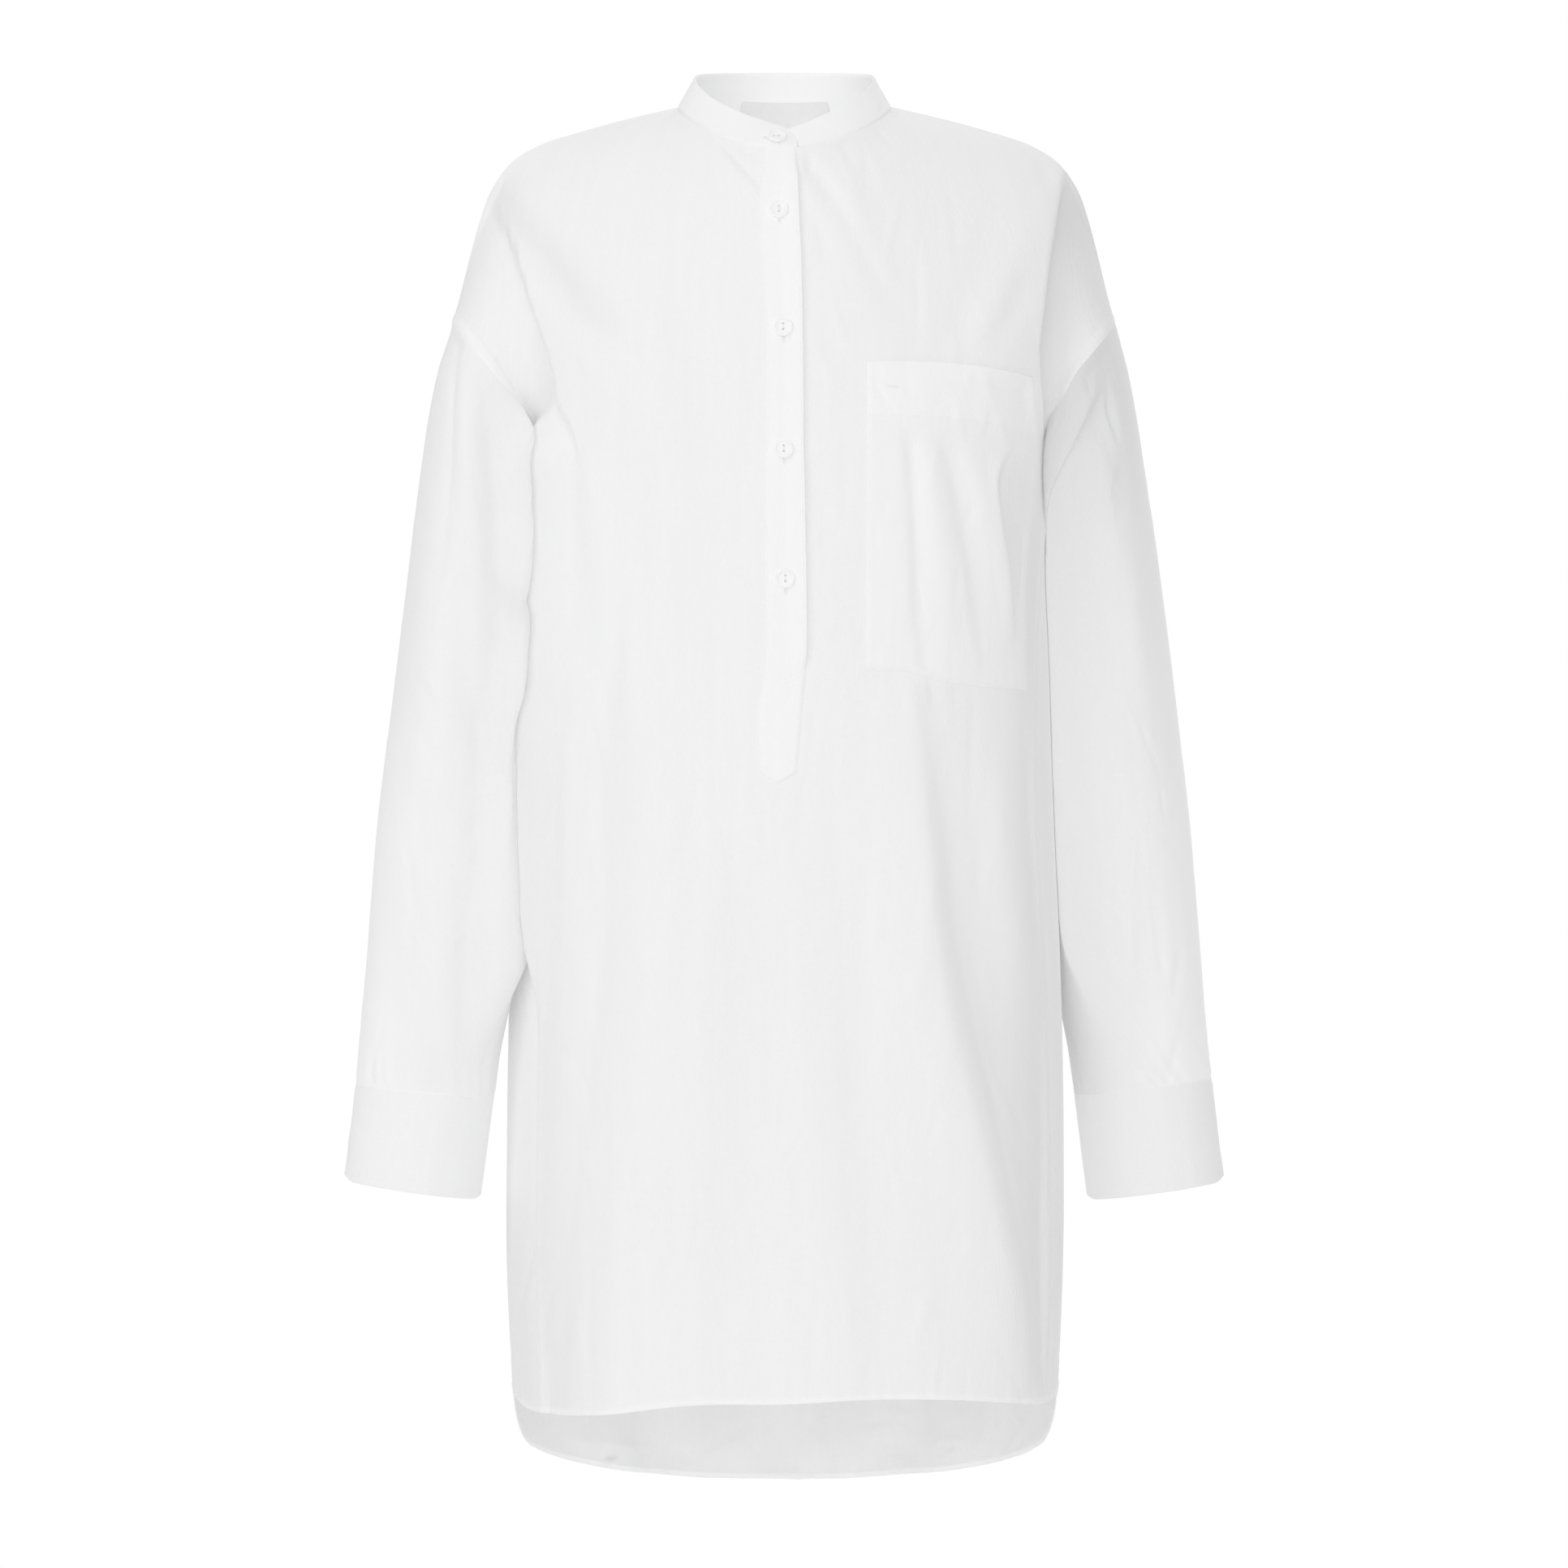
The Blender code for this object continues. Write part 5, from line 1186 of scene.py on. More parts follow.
def wall_mesh(name, grid, thickness, normals=None, backing=1.0):
    """A closed wall behind a grid, with rounded free edges."""
    normals = grid_normals(grid) if normals is None else normals
    thickness = np.broadcast_to(thickness, grid.shape[:2])[..., None]
    outer, inner = grid.reshape(-1, 3), (grid - normals * thickness).reshape(-1, 3)
    ids = ids_of(grid)
    loop = np.concatenate([ids[0, :-1], ids[:-1, -1], ids[-1, :0:-1], ids[:0:-1, 0]])
    inward = np.concatenate([ids[1, :-1], ids[:-1, -2], ids[-2, :0:-1], ids[:0:-1, 1]])
    outward = unit(outer[loop] - outer[inward])
    middle = ((outer[loop] + inner[loop]) / 2
              + outward * thickness.reshape(-1, 1)[loop] * EDGE_ROUND)
    shift, edge = ids.size, 2 * ids.size + np.arange(len(loop))
    faces = quads(grid)
    following, next_edge = np.roll(loop, -1), np.roll(edge, -1)
    rim_outer = np.stack([loop, following, next_edge, edge], -1)[:, ::-1]
    rim_inner = np.stack([edge, next_edge, following + shift, loop + shift], -1)[:, ::-1]
    flat = cloth_map(grid).reshape(-1, 2)
    backing = np.broadcast_to(backing, grid.shape[:2]).ravel()
    mesh = build_mesh(name, np.concatenate([outer, inner, middle]),
                      np.concatenate([faces, faces[:, ::-1] + shift, rim_outer, rim_inner]),
                      np.concatenate([flat, flat, flat[loop]]),
                      np.concatenate([backing, backing, backing[loop]]))
    mesh.set_sharp_from_angle(angle=math.radians(48))
    return mesh


def add_wall(name, solid, grid, thickness, normals=None, backing=1.0,
             material=poplin_doubled):
    """A piece that is sewn double."""
    mesh = wall_mesh(name, grid, thickness, normals, backing)
    return add_object(name, mesh, material, solid)


print("mesh helpers ready")

# %% [markdown]
# ## The front and the back
# Each is one panel. The folds and dints push its points out along their normals; at the
# sleeve and side seams the push fades out, so the neighbours still meet. Along the
# armhole the seam allowance is pressed toward the body and stitched down 7.5 mm from the
# seam, which shows as a raised paler strip. The hem is turned twice, 3.4 mm deep.

# %% Folds and dints of the panels
DROP_SEAM_STRIP = 0.0075
SIDE_SEAM_STRIP = 0.0055
HEM_DEPTH = 0.0034
POCKET_BOX = (54.5, 165.0, -185.0, -390.0)              # mm: inner x, outer x, top, bottom
PLACKET_HALF_MM = 14
STRIP_STEP = 0.0008             # half the way over which a doubled strip steps up
SEAM_RISE, HEM_RISE, SHOULDER_RISE = 0.00065, 0.00035, 0.0005
SHOULDER_STRIP = 0.0078
UNDER_SHARE = 0.85              # how far a fold is flattened under a pocket or placket
DEEP = 0.0075                   # a hollow this deep gets the most painted shade


def under_pieces(places):
    """1 where the pocket or the placket covers the front, 0 elsewhere, soft between."""
    x, z = places[..., 0], places[..., 1]
    inner, outer, top, bottom = POCKET_BOX
    pocket = (ramp(x, inner - 3, inner + 5) * fade(x, outer - 5, outer + 4)
              * fade(z, top - 5, top + 4) * ramp(z, bottom - 4, bottom + 5))
    placket = fade(np.abs(x), PLACKET_HALF_MM - 2, PLACKET_HALF_MM + 3) * ramp(z, -460, -448)
    return np.maximum(pocket, placket)


def hollow_shade(heights):
    """How much painted shade a hollow gets: 0 level, up to 1 deep. Heights are in metres."""
    return np.clip(-heights / DEEP, 0, 1)


def panel_heights(face, places, folds, seed):
    """How far the folds and dints move each point of a panel, in metres."""
    rng = np.random.default_rng(seed)
    heights = fold_heights(places, folds)
    small = dints(places, rng, 260, (-180, -870), (180, -10), 0.30)
    small += dints(places, rng, 120, (-180, -880), (180, -300), 0.22, length=(20, 60),
                   width=(3, 7), upright=0.15)
    if face == "front":
        cover = under_pieces(places)
        heights = heights * (1 - UNDER_SHARE * cover)
        small = small * (1 - cover)
        small += dints(places, rng, 70, (-184, -870), (-130, -420), 0.32)
    else:
        small += dints(places, rng, 220, (-170, -945), (170, -800), 0.60, length=(8, 30),
                       upright=1.2)
    return (heights + small) / 1000


print("hem, mm:", HEM_DEPTH * 1000)

# %% [markdown]
# Where an arm leans on the body both flatten, so the groove between them is shallow. Rays
# along X find how far each point may go until it lies against the other piece.

# %% Leaning
TOUCH_FRONT = {-1: (0.058, 0.092), 1: (0.036, 0.060)}    # -y up to which they touch
TOUCH_GAP, TOUCH_BACK, TOUCH_REACH = 0.0004, 0.015, 0.060
BODY_LEAN = 0.8
LEAN_BLUR = ((9, 0), (3, 1))    # points, along an axis, over which the move is evened out


def leaning(grid, side, way, other):
    """How far each point moves along X (way) to lie against the other piece at a side."""
    x, y, z = np.moveaxis(grid, -1, 0)
    share = fade(-y, *TOUCH_FRONT[side]) * fade(y, 0.012, 0.040) * (
        ramp(-z, 0.196, 0.228) * fade(-z, 0.555, 0.650))
    move = np.zeros(x.shape)
    back, toward = Vector((-way * TOUCH_BACK, 0, 0)), Vector((way, 0, 0))
    near = (share > 0.01) & (side * x < 0.225) & (side * x > 0.100)
    for spot in zip(*np.nonzero(near)):
        place, _, _, distance = other.ray_cast(Vector(grid[spot]) + back, toward, TOUCH_REACH)
        if place is not None:
            move[spot] = (distance - TOUCH_BACK - TOUCH_GAP) * share[spot]
    for size, axis in LEAN_BLUR:
        soft = np.exp(-(np.arange(-size, size + 1) / size * 1.6) ** 2)
        moved = [np.roll(move, step, axis) for step in range(-size, size + 1)]
        move = np.tensordot(soft / soft.sum(), moved, 1)
    return move


right_sleeve = sleeve_forms[-1]
sleeve_tree = BVHTree.FromPolygons(right_sleeve.reshape(-1, 3).tolist(),
                                   quads(right_sleeve, tube=True).tolist())
print("touch from y", {side: -reach[1] for side, reach in TOUCH_FRONT.items()})

# %% Panels
def make_panel(face, form, folds, seed):
    """Points of a panel, and for each its mark of layers and painted shade."""
    places = seen_from_front(form)
    push = panel_heights(face, places, folds, seed)
    across, down = lengths_along(form, 1), lengths_along(form, 0)
    from_side = np.minimum(across, across[:, -1:] - across)
    from_top, from_hem = down, down[-1:] - down
    push *= ramp(from_side, 0, 0.009) * ramp(from_top, 0, 0.006)
    # Painted shade: the cloth is darkened beside the arm, in fold hollows and at the places of painted
    # shade.
    shade_beside_arm = fade(from_side, 0.010, 0.048) * ramp(-places[..., 1], 205, 250)
    painted_shading = 0.8 * hollow_shade(push) + shade_beside_arm
    if face == "front":
        painted_shading += fold_heights(places, PAINTED_SHADES)

    above_chest = PANEL_ROWS < CHEST_ROW
    strip = np.where(above_chest, DROP_SEAM_STRIP, SIDE_SEAM_STRIP)[:, None]
    at_strip = fade(from_side, strip - STRIP_STEP, strip + STRIP_STEP)
    on_edge = ramp(from_side, 0, 0.0012)
    on_left = places[..., 0] > 0
    push += at_strip * on_edge * SEAM_RISE * above_chest[:, None] * (1 - 0.5 * on_left)
    push += puckers(down, np.abs(from_side - strip), 0.00016, seed + 1) * on_edge * (
        np.where(above_chest, 1.0, 0.15)[:, None])
    at_hem = fade(from_hem, HEM_DEPTH - STRIP_STEP, HEM_DEPTH + STRIP_STEP)
    push += at_hem * HEM_RISE + puckers(across, np.abs(from_hem - HEM_DEPTH), 0.00022,
                                        seed + 2, reach=0.012)
    neck = ((PANEL_COLUMNS > SHOULDER_COLUMNS)
            & (PANEL_COLUMNS < LAST_COLUMN - SHOULDER_COLUMNS))[None, :]
    push += puckers(across, from_top, 0.00022, seed + 3, every=0.006, reach=0.009) * (
        neck * ramp(from_top, 0, 0.003))
    shoulder_strip = (fade(from_top, SHOULDER_STRIP - STRIP_STEP, SHOULDER_STRIP + STRIP_STEP)
                      * ~neck * (face == "back"))
    push += shoulder_strip * SHOULDER_RISE * ramp(from_top, 0, 0.0012)
    # Seam strips and hems are paler as a second layer; on the wearer's left (+X), away from the key
    # lamp, painted shade keeps the strips darker.
    paler_and_side_shade = np.where(above_chest, 1.0, 0.25)[:, None] * (1 - 0.8 * on_left)
    doubled = np.maximum(np.maximum(at_strip * paler_and_side_shade, at_hem), shoulder_strip)
    backing = doubled - painted_shading * (1 - 0.55 * doubled)

    grid = stirred(form) + grid_normals(form) * push[..., None]
    if face == "front":
        grid[..., 0] -= (BODY_LEAN * np.maximum(leaning(grid, -1, -1, sleeve_tree), 0)
                         * ramp(from_side, 0, 0.012))
    return grid, backing


def turned_hem(grid, backing):
    """Adds the rows that turn under at the hem and run up inside."""
    normals = grid_normals(grid)
    edge, inward = grid[-1], -normals[-1]
    down = unit(edge - grid[-2])
    added = [edge + down * 0.00025 + inward * 0.00010,
             edge + down * 0.00030 + inward * 0.0003,
             edge + down * 0.0001 + inward * 0.0006,
             grid[-2] - normals[-2] * 0.0006,
             grid[-2] * 0.6 + grid[-3] * 0.4 - normals[-3] * 0.0004]
    return (np.concatenate([grid, np.array(added)]),
            np.concatenate([backing, np.full((len(added), grid.shape[1]), 1.8)]))


def add_panel(face, grid, backing, slit_rows=0):
    """The panel's mesh. Down to slit_rows its middle column is there twice, side by side."""
    grid, backing = turned_hem(grid, backing)
    points, maps = grid.reshape(-1, 3).copy(), cloth_map(grid).reshape(-1, 2)
    marks, right_ids, middle = backing.reshape(-1), ids_of(grid), grid.shape[1] // 2
    split = right_ids[:slit_rows, middle].copy()
    right_ids[:slit_rows, middle] = len(points) + np.arange(slit_rows)
    twins = points[split] + (SLIT_HALF, 0, 0)
    points[split] -= (SLIT_HALF, 0, 0)
    name = face + "_cloth"
    mesh = build_mesh(name, np.concatenate([points, twins]),
                      quads(grid, right_ids=right_ids, slit=middle),
                      np.concatenate([maps, maps[split]]),
                      np.concatenate([marks, marks[split]]))
    return add_object(name, mesh, poplin, face)


front_grid, front_backing = make_panel("front", front_form, FRONT_FOLDS, 21)
back_grid, back_backing = make_panel("back", back_form, BACK_FOLDS, 41)
slit_rows = int(np.sum(front_form[:, front_form.shape[1] // 2, 2] > SLIT_END_Z))
front = add_panel("front", front_grid, front_backing, slit_rows)
back = add_panel("back", back_grid, back_backing)

# %% [markdown]
# ## The sleeves
# A sleeve's folds gather where the arm would bend and where the cuff takes it in. Those
# on its front come from the measured tables, those behind are of the same kind. Small
# gathers run up from the cuff seam; the seam under the arm is not drawn.

# %% Sleeves
SLEEVE_SHADE = {-1: 0.4, 1: 3.8}    # painted shade between each sleeve and the body
OUTER_LIGHT = {-1: 1.5, 1: 2.6}     # and painted light on its outer side


def facing(normals, way):
    """1 where the cloth faces the front (-1) or the back (1), soft between."""
    return ramp(normals[..., 1] * way, -0.15, 0.35)


def extent(places):
    flat = places.reshape(-1, 2)
    return flat.min(0), flat.max(0)


def make_sleeve(side, form, seed):
    rng = np.random.default_rng(seed)
    normals, places = grid_normals(form, tube=True), seen_from_front(form)
    low, high = extent(places)
    push = np.zeros(form.shape[:2])
    for way, folds in ((-1, SLEEVE_FOLDS[side]), (1, SLEEVE_BACK_FOLDS[side])):
        here = fold_heights(places, folds)
        here += dints(places, rng, 90, low, high, 0.30)
        here += dints(places, rng, 50, low, high, 0.25, length=(6, 16), upright=1.0)
        push += here / 1000 * facing(normals, way)
    down, run = lengths_along(form, 0), lengths_along(form, 1)
    from_top, from_cuff = down, down[-1:] - down
    push *= ramp(from_top, 0, 0.010) * ramp(from_cuff, 0, 0.008)
    push += puckers(run, from_top, 0.00016, seed + 1) * ramp(from_top, 0, 0.002)
    gathers = puckers(run, from_cuff, 0.0009, seed + 2, every=0.013, reach=0.016)
    push += gathers * ramp(from_cuff, 0.0015, 0.006)
    inner = side * (places[..., 0] - side * 180)
    # Painted shade between the sleeve and the body, in fold hollows and at the places of painted shade;
    # painted light on the sleeve's outer side.
    shade_beside_body = fade(inner, 2, 68) * ramp(-places[..., 1], 40, 120)
    painted_shading = 0.8 * hollow_shade(push) + SLEEVE_SHADE[side] * shade_beside_body
    painted_shading += fold_heights(places, PAINTED_SHADES) * facing(normals, -1)
    painted_shading -= OUTER_LIGHT[side] * ramp(inner, 55, 125)
    grid = stirred(form) + normals * push[..., None]
    grid[..., 0] -= side * leaning(grid, side, -side, body_tree)
    return grid, -painted_shading


body_points = np.concatenate([front_grid.reshape(-1, 3), back_grid.reshape(-1, 3)])
body_faces = np.concatenate([quads(front_grid), quads(back_grid) + front_grid[..., 0].size])
body_tree = BVHTree.FromPolygons(body_points.tolist(), body_faces.tolist())
for side, word in WORDS.items():
    grid, backing = make_sleeve(side, sleeve_forms[side], 60 + side)
    name = f"sleeve_{word}_cloth"
    mesh = build_mesh(name, grid.reshape(-1, 3), quads(grid, tube=True),
                      cloth_map(grid, tube=True).reshape(-1, 2), backing)
    sleeve = add_object(name, mesh, poplin, f"sleeve_{word}")

# %% [markdown]
# ## The cuffs
# A cuff is two layers with a stiffener, so it stays a smooth band. It follows the last two
# rings of the sleeve, laps over its own start behind, and its lower corners at the
# flattened sides are a little rounded, as a worn cuff's are.

# %% Cuffs
CUFF_COARSE_ROWS, CUFF_LAP_COLUMNS, CUFF_LAP_START = 3, 3, 7
BAND = 0.0018
CUFF_OVER_SLEEVE = 0.0012
CUFF_RISE = {-1: 0.0043, 1: 0.0}     # how much the worn cuff has ridden up
CUFF_CORNER = 0.0042                 # how far its lower corners are rounded off
CUFF_SHADE = {-1: 1.6, 1: 2.6}       # painted shade between each cuff and the body


def coarse_cuff(side):
    """Coarse points of a cuff, a strip that laps over its own start behind."""
    pair = np.array([sleeve_ring(side, row) for row in SLEEVE_RINGS[side][-2:]])
    top, bottom = turned(pair, side)
    count = len(top)
    start = count - CUFF_LAP_START if side < 0 else CUFF_LAP_START - CUFF_LAP_COLUMNS
    order = [(start + k) % count for k in range(count + CUFF_LAP_COLUMNS + 1)]
    share = np.linspace(0, 1, CUFF_COARSE_ROWS + 1)[:, None, None]
    grid = top[order][None] * (1 - share) + bottom[order][None] * share
    lift = (BAND + 0.00045) * ramp(np.arange(len(order)), count - 3, count - 0.5)
    away = grid - grid.mean(axis=1, keepdims=True)
    grid = grid + unit(away * (1, 1, 0)) * lift[None, :, None]
    grid[0, :, 2] -= 0.5 * lift
    return grid


def make_cuff(side, seed):
    coarse = coarse_cuff(side)
    grid = finer(coarse, steps([11] * CUFF_COARSE_ROWS), steps([5] * (coarse.shape[1] - 1)))
    across = (grid[..., 0] - grid[..., 0].mean()) / (np.ptp(grid[..., 0]) / 2)
    share = np.linspace(0, 1, len(grid))[:, None]
    grid[..., 2] += (CUFF_CORNER * ramp(np.abs(across), 0.80, 1.0) * share ** 8
                     + CUFF_RISE[side] * share)
    normals = grid_normals(grid)
    grid[0] += unit(grid[0] - grid[1]) * CUFF_OVER_SLEEVE
    down, run = lengths_along(grid, 0), lengths_along(grid, 1)
    push = puckers(run, np.abs(to_edges(down) - 0.004), 0.00010, seed, reach=0.006)
    places = seen_from_front(grid)
    push += dints(places, np.random.default_rng(seed), 26, *extent(places), 0.14,
                  length=(8, 26), width=(3, 8), upright=1) / 1000
    push -= 0.0005 * fade(down, 0, 0.0020)
    return grid + normals * (push + 0.0003)[..., None]


def thin_edges(grid, full, thin, reach=0.0018):
    """A wall's thickness where its upper and lower edges are pressed thin."""
    return thin + (full - thin) * ramp(to_edges(lengths_along(grid, 0)), 0, reach)


cuff_grids = {side: make_cuff(side, 80 + side) for side in WORDS}
for side, word in WORDS.items():
    grid = cuff_grids[side]
    inner = side * 1000 * grid[..., 0] - 200
    # Painted shade: the cuff's tone is darkened, most next to the body.
    shaded = 1 - CUFF_SHADE[side] * (1 - 0.5 * ramp(inner, 0, 60))
    cuff = add_wall(f"cuff_{word}_cloth", f"cuff_{word}", grid, thin_edges(grid, BAND, 0.0009),
                    backing=shaded)

# %% [markdown]
# ## The collar band
# The band stands on the neck seam and leans in, more at the front than behind. Its two
# ends lap at the centre, the wearer's right one on top with a rounded corner. It is one
# closed wall, and its lower edge covers the neck seam.

# %% Form of the collar band
COLLAR_TOP_HALF = 0.0607
COLLAR_TOP_FRONT_Y, COLLAR_TOP_FRONT_Z = -0.063, -0.022
COLLAR_TOP_BACK_Y, COLLAR_TOP_BACK_Z = 0.058, 0.0315
COLLAR_TOP_SIDE_Z = 0.0205
COLLAR_V_SLOPE, COLLAR_LAP = 0.34, 0.0084
COLLAR_COARSE_ROWS, COLLAR_CORNER = 3, (0.97, 0.72)
COLLAR_FACE_GAP = 0.0003
COLLAR_BEND = 0.006             # width of the soft bend over each shoulder


def collar_lines(turn):
    """Neck seam and top edge of the band; turn is as for the neck seam."""
    s, c = np.sin(np.radians(turn)), np.cos(np.radians(turn))
    ahead, weight = c > 0, np.abs(c)
    v_rise = COLLAR_V_SLOPE * COLLAR_TOP_HALF
    from_centre = np.where(turn < 180, s, -s)
    front_z = (COLLAR_TOP_FRONT_Z + v_rise * from_centre
               + (COLLAR_TOP_SIDE_Z - COLLAR_TOP_FRONT_Z - v_rise) * (1 - weight) ** 1.2)
    back_z = COLLAR_TOP_SIDE_Z + (COLLAR_TOP_BACK_Z - COLLAR_TOP_SIDE_Z) * weight ** 0.8
    high = np.stack([
        -COLLAR_TOP_HALF * s,
        NECK_Y + (np.where(ahead, COLLAR_TOP_FRONT_Y, COLLAR_TOP_BACK_Y) - NECK_Y) * weight,
        np.where(ahead, front_z, back_z)], -1)
    return neck_seam(turn), high


def coarse_collar(turn):
    low, high = collar_lines(turn)
    height = np.ones(len(turn))
    height[-2:] = COLLAR_CORNER
    rise = np.linspace(1, 0, COLLAR_COARSE_ROWS + 1)[:, None] * height
    coarse = low + (high - low) * rise[..., None]
    share = COLLAR_LAP / (NECK_HALF * math.sin(math.radians(90 / NECK_COLUMNS)))
    for end, centre, beyond in ((0, -2, -3), (-1, 1, 2)):
        coarse[-1, end] = coarse[-1, centre] * (1 - share) + coarse[-1, beyond] * share
    step = (BAND + COLLAR_FACE_GAP) / 2 * (ramp(-turn, -38, -6) - ramp(turn, 322, 354))
    return coarse + grid_normals(coarse) * step[None, :, None]


def collar_form():
    past = math.degrees(math.asin(COLLAR_LAP / NECK_HALF))
    quarter = np.linspace(0, 90, NECK_COLUMNS + 1)
    half = np.r_[quarter, 180 - quarter[-2::-1]]
    turn = np.r_[-past, half, 360 - half[-2::-1], 360 + past][::-1]
    grid = finer(coarse_collar(turn), steps([7] * COLLAR_COARSE_ROWS),
                 steps([9] * (len(turn) - 1)))
    soften = np.exp(-(np.arange(-14, 15) / 5.5) ** 2)
    edge = grid[0, :, 2]
    rounded = np.convolve(np.pad(edge, 14, mode="edge"), soften / soften.sum(), "valid")
    share = np.linspace(1, 0, len(grid))[:, None] ** 1.5
    near_side = np.exp(-(np.abs(np.abs(grid[0, :, 0]) - COLLAR_TOP_HALF) / COLLAR_BEND) ** 2)
    grid[..., 2] += share * (rounded - edge) * near_side
    return grid


collar_grid = collar_form()
print("collar band:", collar_grid.shape)

# %% Collar band
def crumpled_collar(grid):
    normals = grid_normals(grid)
    down, run = lengths_along(grid, 0), lengths_along(grid, 1)
    push = puckers(run, np.abs(to_edges(down) - 0.0022), 0.00005, 91, every=0.0065, reach=0.005)
    push += dints(seen_from_front(grid), np.random.default_rng(92), 40, (-70, -40), (70, 32),
                  0.26, length=(4, 14), width=(2, 4), upright=1.2) / 1000
    push -= 0.0006 * fade(down[-1:] - down, 0, 0.0020)
    grid = grid + normals * push[..., None]
    grid[-1] += unit(grid[-1] - grid[-2]) * 0.0010 + normals[-1] * 0.0002
    return grid


collar_grid = crumpled_collar(collar_grid)
collar = add_wall("collar_band_cloth", "collar_band", collar_grid,
                  thin_edges(collar_grid, BAND, 0.0008))

# %% [markdown]
# ## Pieces laid on the front
# The placket strips, the pocket and the buttons lie on the front. Rays from the front find
# the cloth under each of their points, and each is built a layer's thickness above it.

# %% Laying on the front
CLOTH, STRIP, LAYER_GAP = 0.0012, 0.0010, 0.0006
PRESSED_EDGE = 0.00040              # height of a stitched edge that is pressed flat


class Surface:
    """A grid's outer face, to lay other pieces on."""

    def __init__(self, grid):
        self.points = grid.reshape(-1, 3)
        self.normals = grid_normals(grid).reshape(-1, 3)
        self.faces = quads(grid)
        self.tree = BVHTree.FromPolygons(self.points.tolist(), self.faces.tolist())

    def at(self, x, z):
        """The point seen from straight ahead at x, z, and the normal there."""
        place, _, face, _ = self.tree.ray_cast(Vector((x, -1.0, z)), Vector((0, 1, 0)))
        if face is None:
            place, _, face, _ = self.tree.find_nearest(Vector((x, -0.1, z)))
        corners = self.faces[face]
        weight = 1 / (np.linalg.norm(self.points[corners] - np.array(place), axis=1) + 1e-6)
        return np.array(place), unit((self.normals[corners] * weight[:, None]).sum(0))

    def lay(self, places, lifts):
        """A grid over the surface at (x, z) places, with its top that high above it."""
        grid, normals = np.zeros((2, *places.shape[:2], 3))
        for spot in np.ndindex(places.shape[:2]):
            grid[spot], normals[spot] = self.at(*places[spot])
        return grid + normals * lifts[..., None], normals


chest = Surface(front_grid)
print("surface of the front:", len(chest.faces), "faces")

# %% [markdown]
# The placket strip's outer edge is free between the buttons and lifts slightly, so it
# throws a thin shade. Its left edge is stitched down, and below the opening the whole
# strip is stitched in a box that ends in a point.

# %% Placket
PLACKET = [
    # z, left edge x, right edge x
    (-0.0372, -0.0138, 0.0080), (-0.0760, -0.0158, 0.0090), (-0.1150, -0.0146, 0.0108),
    (-0.1480, -0.0122, 0.0116), (-0.2400, -0.0119, 0.0125), (-0.3170, -0.0122, 0.0140),
    (-0.3850, -0.0125, 0.0135), (-0.4020, -0.0154, 0.0121), (-0.4506, -0.0156, 0.0077),
]
PLACKET_TIP = (0.46, -0.4580)       # share of the width, z
PLACKET_TOP_Z, PLACKET_LENGTH = -0.0375, 0.42
PLACKET_FINE_ROWS, PLACKET_FINE_COLUMNS = 260, 17
PLACKET_LIFT = 0.0022               # how far the free edge stands off
STITCH_IN = 0.0014                  # stitches lie this far inside an edge
BOX_STITCH_Z = -0.3892


def placket_places():
    knots, left, right = columns(PLACKET)
    share = np.linspace(0, 1, PLACKET_FINE_COLUMNS)[None, :]
    down = np.linspace(0, 1, PLACKET_FINE_ROWS)[:, None]
    tip, tip_z = PLACKET_TIP
    off_tip = np.where(share < tip, (tip - share) / tip, (share - tip) / (1 - tip))
    end = tip_z + (knots[-1] - tip_z) * off_tip
    z = PLACKET_TOP_Z + (end - PLACKET_TOP_Z) * down
    x = smooth(z, knots, left) * (1 - share) + smooth(z, knots, right) * share
    return np.stack([x, z], -1)


def placket_lifts(places):
    share = np.linspace(0, 1, places.shape[1])[None, :]
    z = places[..., 1]
    free = ramp(-z, 0.04, 0.06) * fade(-z, 0.37, 0.388)
    lift = LAYER_GAP * 0.5 + PLACKET_LIFT * free * ramp(share, 0.45, 1.0)
    lift = lift + dints(places * 1000, np.random.default_rng(101), 60, (-16, -455), (14, -40),
                        0.12, length=(5, 18), width=(2, 4)) / 1000
    sewn = np.abs(share - 0.06) * 0.024
    lift = lift + puckers(-z, sewn, 0.00012, 102, every=0.0065, reach=0.004) + STRIP
    from_tip = ((1 - np.linspace(0, 1, len(places))) * PLACKET_LENGTH)[:, None]
    pressed = fade(share, 0, 0.07) + fade(from_tip, 0, 0.0016)
    pressed = np.clip(pressed + (1 - free) * ramp(share, 0.93, 1.0), 0, 1)
    return lift - (lift - PRESSED_EDGE) * pressed


places = placket_places()
lifts = placket_lifts(places)
placket_grid, normals = chest.lay(places, lifts)
placket = add_wall("placket_top_cloth", "placket_top", placket_grid,
                   np.minimum(STRIP * 0.7, lifts * 0.6), normals)

# %% [markdown]
# The strip under the opening is plain and narrower, and lies behind the front.

# %% Placket's under strip
UNDER_HALF, UNDER_TOP_Z = 0.0115, -0.0415
UNDER_ROWS, UNDER_COLUMNS = 90, 7

heights = np.linspace(UNDER_TOP_Z, SLIT_END_Z - 0.004, UNDER_ROWS)
places = np.stack(np.meshgrid(np.linspace(-1, 1, UNDER_COLUMNS) * UNDER_HALF, heights), -1)
under_grid, normals = chest.lay(places, np.full(places.shape[:2], -CLOTH - 0.0003))
placket_under = add_wall("placket_under_cloth", "placket_under", under_grid, STRIP, normals)

# %% [markdown]
# The patch pocket is cut wider than it looks: its cloth bags a little, in three long
# folds that hang from its deep hemmed mouth. The mouth stands off the chest.

